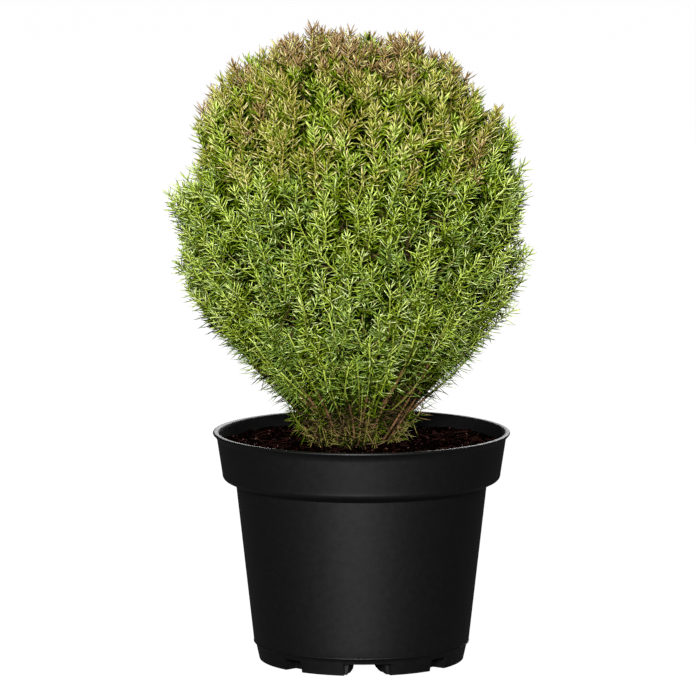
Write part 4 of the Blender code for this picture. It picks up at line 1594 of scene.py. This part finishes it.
@dataclass
class Pot:
    """The moulded nursery pot: its turned wall, band, rolled lip, and the drain channels underneath."""

    height: float = 0.147
    wall: float = 0.0016
    lip_radius: float = 0.0950
    band_top: float = 0.0925
    band_foot: float = 0.0890
    band_foot_height: float = 0.1196
    band_rounding: float = 0.0036
    body_top: float = 0.0803
    body_top_height: float = 0.1132
    body_foot: float = 0.0690
    ring_height: float = 0.0112
    ring_ledge: float = 0.0016
    ring_radius: float = 0.0676
    foot_radius: float = 0.0656
    foot_rounding: float = 0.0006
    foot_points: int = 5
    foot_inset: float = 0.0008
    hub_radius: float = 0.004
    hair: float = 0.0001
    ledge_rounding: float = 0.0004
    lip_depth: float = 0.0042
    lip_rounding: float = 0.0009
    floor_top: float = 0.0092
    pads: int = 7
    channel_turn: float = math.radians(3.15)
    channel_height: float = 0.0074
    channel_throat: float = 0.0056
    channel_mouth: float = 0.0128
    channel_flare: float = 2.5
    channel_bevel: float = 0.0010
    channel_start: float = 0.020
    notch_width: float = 0.0298
    pocket_depth: float = 0.0090
    pocket_start: float = 0.08
    notch_height: float = 0.0077
    notch_depth: float = 0.0036
    columns: int = 420
    sharp_from: float = math.radians(40)

    def outer(self) -> Array:
        """The outside profile, (radius, height) from the foot's edge up and over the lip.

        Returns:
            Shape (points, 2).
        """
        band = corner_arc((self.band_foot - self.band_rounding, self.band_foot_height),
                          self.band_rounding, -62, 2, 9)
        lip = corner_arc((self.lip_radius - self.lip_rounding, self.height - self.lip_rounding),
                         self.lip_rounding, -70, 90, 14)
        foot = corner_arc((self.foot_radius - self.foot_rounding, self.foot_rounding),
                          self.foot_rounding, -90, 10, self.foot_points)
        rise = np.linspace([self.foot_radius + 2 * self.hair, 0.0016],
                           [self.ring_radius, self.ring_height - self.ring_ledge], 8)
        ledge = corner_arc((self.body_foot - 2 * self.hair, self.ring_height + self.ledge_rounding),
                           self.ledge_rounding, -80, 80, 7)
        body = np.linspace([self.body_foot + self.hair, self.ring_height + 0.002],
                           [self.body_top, self.body_top_height], 16)
        wall = np.linspace([self.band_foot + self.hair, self.band_foot_height + 0.001],
                           [self.band_top, self.height - self.lip_depth], 12)
        return np.concatenate([foot, rise, ledge, body, band, wall, lip])

    def inner(self) -> Array:
        """The inside profile, from the lip down to the floor.

        Returns:
            Shape (points, 2).
        """
        return np.array(
            [
                (self.band_top - self.wall * 0.25, self.height - self.hair),
                (self.band_top - self.wall * 0.75, self.height - 0.0008),
                (self.band_top - self.wall, self.height - 0.0030),
                (self.band_foot - self.wall, self.band_foot_height + 0.0011),
                (self.body_top - self.wall, self.body_top_height + 0.0011),
                (self.body_foot - self.wall, self.floor_top + 0.001),
                (self.body_foot - self.wall - 0.001, self.floor_top),
                (0.030, self.floor_top),
            ]
        )

    def channel(self, across: Array, radius: Array) -> Array:
        """The height of a drain channel whose plan is a trumpet that opens towards the foot's edge.

        Half the trumpet's width is throat + (mouth - throat) s ^ 2.5, where s is the share of the way out
        from the channel's start to the foot's edge, and its sides slope down over the bevel.

        Args:
            across: Distances from the channel's middle line.
            radius: Distances from the pot's axis.

        Returns:
            The height at each place.
        """
        share = np.clip((radius - self.channel_start) / (self.foot_radius - self.channel_start), 0, 1)
        half = self.channel_throat + (self.channel_mouth - self.channel_throat) * share**self.channel_flare
        down = np.clip((np.abs(across) - half) / self.channel_bevel, 0, 1)
        return self.channel_height * (1 - down)

    def make(self, plastic: bpy.types.Material) -> None:
        """Builds the shell: a profile turned round the axis, its foot lifted over the openings.

        The front opening is a wide notch with a channel behind it. Each of the others is open on its
        half towards the front only, with a shallow pocket behind.

        Args:
            plastic: What it wears.
        """
        first = self.channel_turn - math.pi / 2
        pitch = math.tau / self.pads
        edge = self.notch_width / 2 / self.foot_radius
        crisp = self.hair / self.foot_radius
        half = self.pocket_start * edge
        steps = np.array([half - crisp, half, edge, edge + crisp])
        middles = first + np.arange(self.pads)[:, None] * pitch
        ends = middles + np.concatenate([-steps, steps])
        angle = np.unique(np.concatenate([even_turns(self.columns), ends.ravel() % math.tau]))
        number = np.round((angle - first) / pitch).astype(int) % self.pads
        turn = (angle - first + pitch / 2) % pitch - pitch / 2
        frontward = np.where(number <= self.pads // 2, -turn, turn)
        within = np.where(number == 0, np.abs(turn) <= edge, (frontward >= half) & (frontward <= edge))
        within = within | (np.abs(np.abs(turn) - edge) < crisp / 2) & (within | (frontward > 0))
        notch_start = self.foot_radius - self.notch_depth
        pocket = self.foot_radius - self.pocket_depth
        reaches = ((self.hub_radius, self.channel_start, 3), (self.channel_start + crisp, pocket, 20),
                   (pocket + self.hair, notch_start, 5),
                   (notch_start + self.hair, self.foot_radius - self.foot_inset, 5))
        reach = np.concatenate([np.linspace(*each) for each in reaches])
        under = np.stack([reach, np.zeros_like(reach)], axis=-1)
        profile = np.concatenate([under, self.outer(), self.inner()])
        radius, height = (np.repeat(profile[:, i : i + 1], len(angle), 1) for i in (0, 1))
        row = np.arange(len(profile))[:, None]
        through = (number == 0)[None] & (radius > self.channel_start)
        lifted = np.where(through, self.channel(radius * np.sin(turn)[None], radius), 0.0)
        lifted = np.where((within & (number > 0))[None] & (radius > pocket), self.channel_height, lifted)
        lifted = np.where(row < len(under) + self.foot_points, lifted, 0.0)
        in_notch = within[None] & (radius > notch_start + self.hair / 2)
        in_notch = in_notch & (row < len(under) + len(self.outer()))
        height = np.maximum(height, np.where(in_notch, np.maximum(lifted, self.notch_height), lifted))
        body = np.stack([radius * np.cos(angle), radius * np.sin(angle), height], axis=-1)
        piece = turned_piece("pot_shell", 0.0 * UP, body, self.floor_top * UP, plastic)
        piece.data.set_sharp_from_angle(angle=self.sharp_from)
        settle(piece, ["pot"])


def corner_arc(centre: Pair, radius: float, start: float, end: float, steps: int) -> Array:
    """Returns points of an arc in a profile's plane, from one angle in degrees to another."""
    angle = np.radians(np.linspace(start, end, steps))
    return np.stack([centre[0] + radius * np.cos(angle), centre[1] + radius * np.sin(angle)], -1)


CHIP_CORNERS = np.array([(x, y, z) for z in (-1, 1) for y in (-1, 1) for x in (-1, 1)], float)
CHIP_FACES = (
    (0, 2, 3), (0, 3, 1), (4, 5, 7), (4, 7, 6), (0, 1, 5), (0, 5, 4),
    (2, 6, 7), (2, 7, 3), (0, 4, 6), (0, 6, 2), (1, 3, 7), (1, 7, 5),
)


@dataclass
class Substrate:
    """Bark and peat: an uneven surface, with chips, fibres and pale grit lying on it."""

    radius: float = 0.0902
    edge_height: float = 0.1385
    middle_height: float = 0.1402
    depth: float = 0.020
    underside: Pair = (0.9, 0.965)
    innermost: float = 0.0015
    unevenness: tuple[Triple, ...] = ((0.0010, 0.012, 1), (0.0007, 0.0045, 2), (0.0004, 0.0019, 3))
    rings: int = 70
    columns: int = 260
    clear_edge: float = 0.97
    seed: int = 7
    chips: int = 5200
    chip_length: float = 0.0008
    chip_growth: float = 0.0030
    chip_power: float = 3.5
    chip_breadth: Pair = (0.4, 0.8)
    chip_thickness: Pair = (0.2, 0.5)
    corner_range: Pair = (0.55, 1.1)
    tumble: float = 0.45
    grit: int = 300
    grain: Pair = (0.0003, 0.0007)
    fibres: int = 380
    fibre_edge: float = 0.93
    fibre_slope: Pair = (0.05, 0.15)
    fibre_length: Pair = (0.003, 0.010)
    fibre_lift: float = 0.0004
    fibre_bend: float = 0.3
    fibre_flatness: Triple = (1, 1, 0.25)
    fibre_ease: float = 0.33
    fibre_radius: Pair = (0.00010, 0.00022)
    fibre_points: int = 5
    fibre_sides: int = 3

    def __post_init__(self) -> None:
        """Starts the seeded source of chance."""
        self.rng = np.random.default_rng(self.seed)

    def level(self, x: Array, y: Array) -> Array:
        """The surface's height: a low dome, and three sizes of smooth noise.

        Args:
            x: Places along the first axis.
            y: Places along the second.

        Returns:
            The height at each place.
        """
        share = np.clip(np.hypot(x, y) / self.radius, 0, 1)
        dome = self.middle_height + (self.edge_height - self.middle_height) * share
        coarse, middle, fine = (
            amount * value_noise(x, y, cell, seed) for amount, cell, seed in self.unevenness
        )
        return dome + (coarse + middle) + fine

    def make(self, soil: bpy.types.Material) -> None:
        """Builds the bed as one closed turned body, and the loose matter on it.

        Args:
            soil: What the bed wears.
        """
        angle = even_turns(self.columns)
        under = self.radius * np.array(self.underside)
        radius = np.concatenate([under, np.linspace(self.radius, self.innermost, self.rings)])[:, None]
        x, y = radius * np.cos(angle), radius * np.sin(angle)
        height = self.level(x, y)
        height[: len(under)] = self.edge_height - self.depth
        first = (self.edge_height - self.depth) * UP
        last = self.level(np.zeros(1), np.zeros(1)) * UP
        body = np.stack([x, y, height], axis=-1)
        settle(turned_piece("substrate_bed", first, body, last, soil), ["soil"])
        self.make_litter()

    def scattered(self, count: int, most: float) -> Array:
        """Even random places on the surface, by area.

        Args:
            count: How many there are.
            most: The share of the bed's radius that they stay within.

        Returns:
            The places.
        """
        radius = self.radius * most * np.sqrt(self.rng.random(count))
        angle = self.rng.uniform(0, math.tau, count)
        x, y = radius * np.cos(angle), radius * np.sin(angle)
        return np.stack([x, y, self.level(x, y)], axis=-1)

    def strewn(self, sizes: Array, slots: Array) -> Facets:
        """Chips: boxes of three random sides, turned at random, with each corner drawn in or out.

        Args:
            sizes: Shape (chips, 3), the boxes' sides.
            slots: Each box's material slot.

        Returns:
            The boxes' triangles.
        """
        count = len(sizes)
        places = self.scattered(count, self.clear_edge)
        drawn = self.rng.uniform(*self.corner_range, (count, len(CHIP_CORNERS), 3))
        corners = CHIP_CORNERS[None] * sizes[:, None] / 2 * drawn
        lying = unit(UP + self.rng.normal(0, self.tumble, (count, 3)))
        side, other = squared(lying, unit(self.rng.normal(size=(count, 3))))
        turned = sum(corners[..., i : i + 1] * axis[:, None] for i, axis in enumerate((side, other, lying)))
        return Facets.repeated(places[:, None] + turned, CHIP_FACES, np.repeat(slots, len(CHIP_FACES)))

    def make_litter(self) -> None:
        """Builds the chips, the grit and the fibres, joined as one piece."""
        peat, bark, russet, grit, fibre = range(len(Litter))
        rng, count = self.rng, self.chips
        length = self.chip_length + self.chip_growth * rng.random(count) ** self.chip_power
        breadth = rng.uniform(*self.chip_breadth, count)
        thickness = rng.uniform(*self.chip_thickness, count)
        sizes = length[:, None] * np.stack([np.ones(count), breadth, thickness], -1)
        dark = rng.choice([peat, peat, peat, peat, bark, bark, russet], count)
        chips = self.strewn(sizes, dark)
        grains = rng.uniform(*self.grain, self.grit)[:, None] * np.ones((1, 3))
        pale = self.strewn(grains, np.full(self.grit, grit))
        loose = Facets.joined([chips, pale, self.lying_fibres([russet, fibre, fibre])])
        dealt_piece("substrate_litter", loose, Litter).data.shade_flat()

    def lying_fibres(self, slots: Sequence[int]) -> Facets:
        """Fibres: thin bent cubic curves that lie nearly flat and end inside the rim.

        Args:
            slots: The material slots that they are dealt.

        Returns:
            The fibres' triangles.
        """
        rng, count = self.rng, self.fibres
        start = self.scattered(count, self.fibre_edge)
        way = rng.uniform(0, math.tau, count)
        flat = np.stack([np.cos(way), np.sin(way), rng.normal(*self.fibre_slope, count)], -1)
        reach = rng.uniform(*self.fibre_length, count)[:, None]
        start[:, 2] += self.fibre_lift
        bend = rng.normal(0, self.fibre_bend, (count, 3)) * np.array(self.fibre_flatness)
        end = start + flat * reach
        far = np.hypot(end[:, :1], end[:, 1:2])
        end[:, :2] *= np.minimum(1, self.radius * self.clear_edge / far)
        first = start + (flat + bend) * reach * self.fibre_ease
        second = end - (flat - bend) * reach * self.fibre_ease
        paths = cubic(start, first, second, end, self.fibre_points)
        radii = rng.uniform(*self.fibre_radius, count)[:, None]
        return tubes(paths, radii, self.fibre_sides, rng.choice(slots, count)[:, None])


def wire(tree: bpy.types.NodeTree, pairs: Sequence[tuple[Socket, Socket]]) -> None:
    """Links each pair's output to its input."""
    for output, entry in pairs:
        tree.links.new(output, entry)


def multiplied(tree: bpy.types.NodeTree, factor: float) -> bpy.types.Node:
    """Returns a new node that multiplies its first input by a factor."""
    node = tree.nodes.new("ShaderNodeMath")
    node.operation = "MULTIPLY"
    node.inputs[1].default_value = factor
    return node


def mottle_group() -> bpy.types.ShaderNodeTree:
    """A shared effect: two sizes of noise on object coordinates, as a mask and as a bumped normal.

    Returns:
        The node group, made at its first use.
    """
    found = bpy.data.node_groups.get("mottle")
    if found:
        return found
    group = bpy.data.node_groups.new("mottle", "ShaderNodeTree")
    for name, value in (("Scale", 100.0), ("Stretch", 1.0), ("Fine Share", 0.3), ("Relief", 0.0001)):
        socket = group.interface.new_socket(name, in_out="INPUT", socket_type="NodeSocketFloat")
        socket.default_value = value
    group.interface.new_socket("Mask", in_out="OUTPUT", socket_type="NodeSocketFloat")
    group.interface.new_socket("Normal", in_out="OUTPUT", socket_type="NodeSocketVector")
    entry, leave, place, spread, stretched, coarse, fine, blend, bump = (
        group.nodes.new(kind) for kind in (
            "NodeGroupInput", "NodeGroupOutput", "ShaderNodeTexCoord", "ShaderNodeCombineXYZ",
            "ShaderNodeVectorMath", "ShaderNodeTexNoise", "ShaderNodeTexNoise", "ShaderNodeMix",
            "ShaderNodeBump",
        )
    )
    stretched.operation = "MULTIPLY"
    finer = multiplied(group, 6.0)
    set_inputs(spread, {"X": 1.0, "Y": 1.0})
    set_inputs(coarse, {"Detail": 3.0})
    set_inputs(fine, {"Detail": 2.0})
    set_inputs(bump, {"Strength": 1.0})
    wire(group, (
        (entry.outputs["Stretch"], spread.inputs["Z"]),
        (place.outputs["Object"], stretched.inputs[0]),
        (spread.outputs["Vector"], stretched.inputs[1]),
        (entry.outputs["Scale"], coarse.inputs["Scale"]),
        (entry.outputs["Scale"], finer.inputs[0]),
        (finer.outputs[0], fine.inputs["Scale"]),
        (stretched.outputs[0], coarse.inputs["Vector"]),
        (stretched.outputs[0], fine.inputs["Vector"]),
        (entry.outputs["Fine Share"], blend.inputs["Factor"]),
        (coarse.outputs["Fac"], blend.inputs["A"]),
        (fine.outputs["Fac"], blend.inputs["B"]),
        (entry.outputs["Relief"], bump.inputs["Distance"]),
        (blend.outputs["Result"], bump.inputs["Height"]),
        (blend.outputs["Result"], leave.inputs["Mask"]),
        (bump.outputs["Normal"], leave.inputs["Normal"]),
    ))
    return group


@dataclass(frozen=True)
class Mottled:
    """A finish whose colour and gloss vary between two values by the mottle mask, over its relief."""

    name: str
    dark: Triple
    light: Triple
    smooth: float
    rough: float
    scale: float
    relief: float
    stretch: float = 1.0
    fine_share: float = 0.3
    specular: float = 0.5

    def material(self) -> bpy.types.Material:
        """Returns the finish as a new material."""
        made, shader = new_finish(self.name)
        tree = made.node_tree
        effect, ramp, gloss = (
            tree.nodes.new(kind) for kind in ("ShaderNodeGroup", "ShaderNodeValToRGB", "ShaderNodeMapRange")
        )
        effect.node_tree = mottle_group()
        look = {"Scale": self.scale, "Stretch": self.stretch, "Fine Share": self.fine_share}
        set_inputs(effect, look | {"Relief": self.relief})
        for stop, position, colour in zip(ramp.color_ramp.elements, (0.35, 0.65), (self.dark, self.light)):
            stop.position = position
            stop.color = (*colour, 1.0)
        set_inputs(gloss, {"From Min": 0.3, "From Max": 0.7, "To Min": self.smooth, "To Max": self.rough})
        set_inputs(shader, {"Specular IOR Level": self.specular})
        wire(tree, (
            (effect.outputs["Mask"], ramp.inputs["Fac"]),
            (effect.outputs["Mask"], gloss.inputs["Value"]),
            (ramp.outputs["Color"], shader.inputs["Base Color"]),
            (gloss.outputs["Result"], shader.inputs["Roughness"]),
            (effect.outputs["Normal"], shader.inputs["Normal"]),
        ))
        return made


PLASTIC = Mottled(
    "black_moulded_plastic", (0.0016, 0.0016, 0.0016), (0.0022, 0.0022, 0.0022), 0.44, 0.50, 260, 0.00003,
    specular=0.33,
)
SOIL = Mottled(
    "peat_and_bark", (0.0003, 0.0001, 0.0001), (0.0034, 0.0013, 0.0009), 0.95, 1.00, 420, 0.0006,
    fine_share=0.5, specular=0.0,
)
# A dark brown bark, darkened further as painted shade, since the boughs lie deep in the crown.
BARK = Mottled(
    "stringy_bark", (0.018, 0.010, 0.006), (0.080, 0.044, 0.025), 0.75, 0.95, 300, 0.0003,
    stretch=0.22, specular=0.25,
)


def aimed(name: str, data: bpy.types.ID, place: Triple, aim: Triple) -> bpy.types.Object:
    """Adds a camera or a light that looks from its place at its aim.

    Args:
        name: The object's name.
        data: The camera or the light.
        place: Where it stands.
        aim: What it looks at.

    Returns:
        The new object.
    """
    made = bpy.data.objects.new(name, data)
    made.location = place
    made.rotation_euler = (Vector(aim) - Vector(place)).to_track_quat("-Z", "Y").to_euler()
    bpy.context.scene.collection.objects.link(made)
    return made


class Lamp(NamedTuple):
    """A square area light: its name, place, power in watts and side in metres."""

    name: str
    place: Triple
    power: float
    size: float


@dataclass
class Studio:
    """The camera, the three soft lights, the white surround and the pale floor."""

    camera_place: Triple = (-0.0086, -3.8, 0.7235)
    camera_aim: Triple = (-0.0086, 0.0, 0.2005)
    lens: float = 310.8
    sensor: float = 36.0
    lamps: tuple[Lamp, ...] = (
        Lamp("key", (-0.28, -2.9, 1.05), 190.0, 0.9),
        Lamp("top", (0.0, -0.4, 2.2), 4.0, 1.4),
        Lamp("back", (0.5, 2.6, 1.5), 50.0, 1.6),
    )
    lamp_aim: Triple = (0.0, 0.0, 0.22)
    surround: float = 0.007
    floor_size: float = 40.0
    floor_grey: float = 0.08
    floor_glow: float = 0.99

    def make(self) -> None:
        """Builds the camera, lights, surround and floor."""
        scene = bpy.context.scene
        camera = bpy.data.cameras.new("photo_view")
        camera.lens = self.lens
        camera.sensor_width = self.sensor
        scene.camera = aimed("photo_view", camera, self.camera_place, self.camera_aim)
        for lamp in self.lamps:
            light = bpy.data.lights.new(lamp.name, "AREA")
            light.energy = lamp.power
            light.size = lamp.size
            aimed(lamp.name, light, lamp.place, self.lamp_aim)
        self.make_surround(scene)
        self.make_floor()
        scene.view_settings.view_transform = "Standard"

    def make_surround(self, scene: bpy.types.Scene) -> None:
        """Adds a white surround to look at, whose light on the plant is dimmer.

        Args:
            scene: The scene that it surrounds.
        """
        world = bpy.data.worlds.new("surround")
        world.use_nodes = True
        tree = world.node_tree
        back, path, strength = tree.nodes["Background"], *(
            tree.nodes.new(kind) for kind in ("ShaderNodeLightPath", "ShaderNodeMapRange")
        )
        set_inputs(back, {"Color": (1.0, 1.0, 1.0, 1.0)})
        set_inputs(strength, {"To Min": self.surround, "To Max": 1.0})
        wire(tree, (
            (path.outputs["Is Camera Ray"], strength.inputs["Value"]),
            (strength.outputs["Result"], back.inputs["Strength"]),
        ))
        scene.world = world

    def make_floor(self) -> None:
        """Builds a large pale floor that looks near white, but throws little light back on the plant."""
        pale, shader = new_finish("pale_floor")
        look = {"Base Color": (*(self.floor_grey,) * 3, 1.0), "Roughness": 1.0, "Specular IOR Level": 0.0}
        set_inputs(shader, look | {"Emission Color": (1.0, 1.0, 1.0, 1.0)})
        glow = multiplied(pale.node_tree, self.floor_glow)
        path = pale.node_tree.nodes.new("ShaderNodeLightPath")
        wire(pale.node_tree, (
            (path.outputs["Is Camera Ray"], glow.inputs[0]),
            (glow.outputs[0], shader.inputs["Emission Strength"]),
        ))
        half = self.floor_size / 2
        corners = np.array([(-half, -half, 0), (half, -half, 0), (half, half, 0), (-half, half, 0)])
        mesh_piece("floor", corners, [np.array([(0, 1, 2, 3)])], [pale])


def main() -> None:
    """Builds the studio and the dressed plant."""
    logging.basicConfig(level=logging.INFO, format="%(message)s")
    Studio().make()
    crown = Crown()
    trunk = Trunk(crown)
    framework = Framework(crown, trunk)
    Pot().make(PLASTIC.material())
    Substrate().make(SOIL.material())
    bark = BARK.material()
    trunk.make(bark)
    framework.make_boughs(bark)
    Foliage(crown, framework).make()


if __name__ == "__main__":
    main()
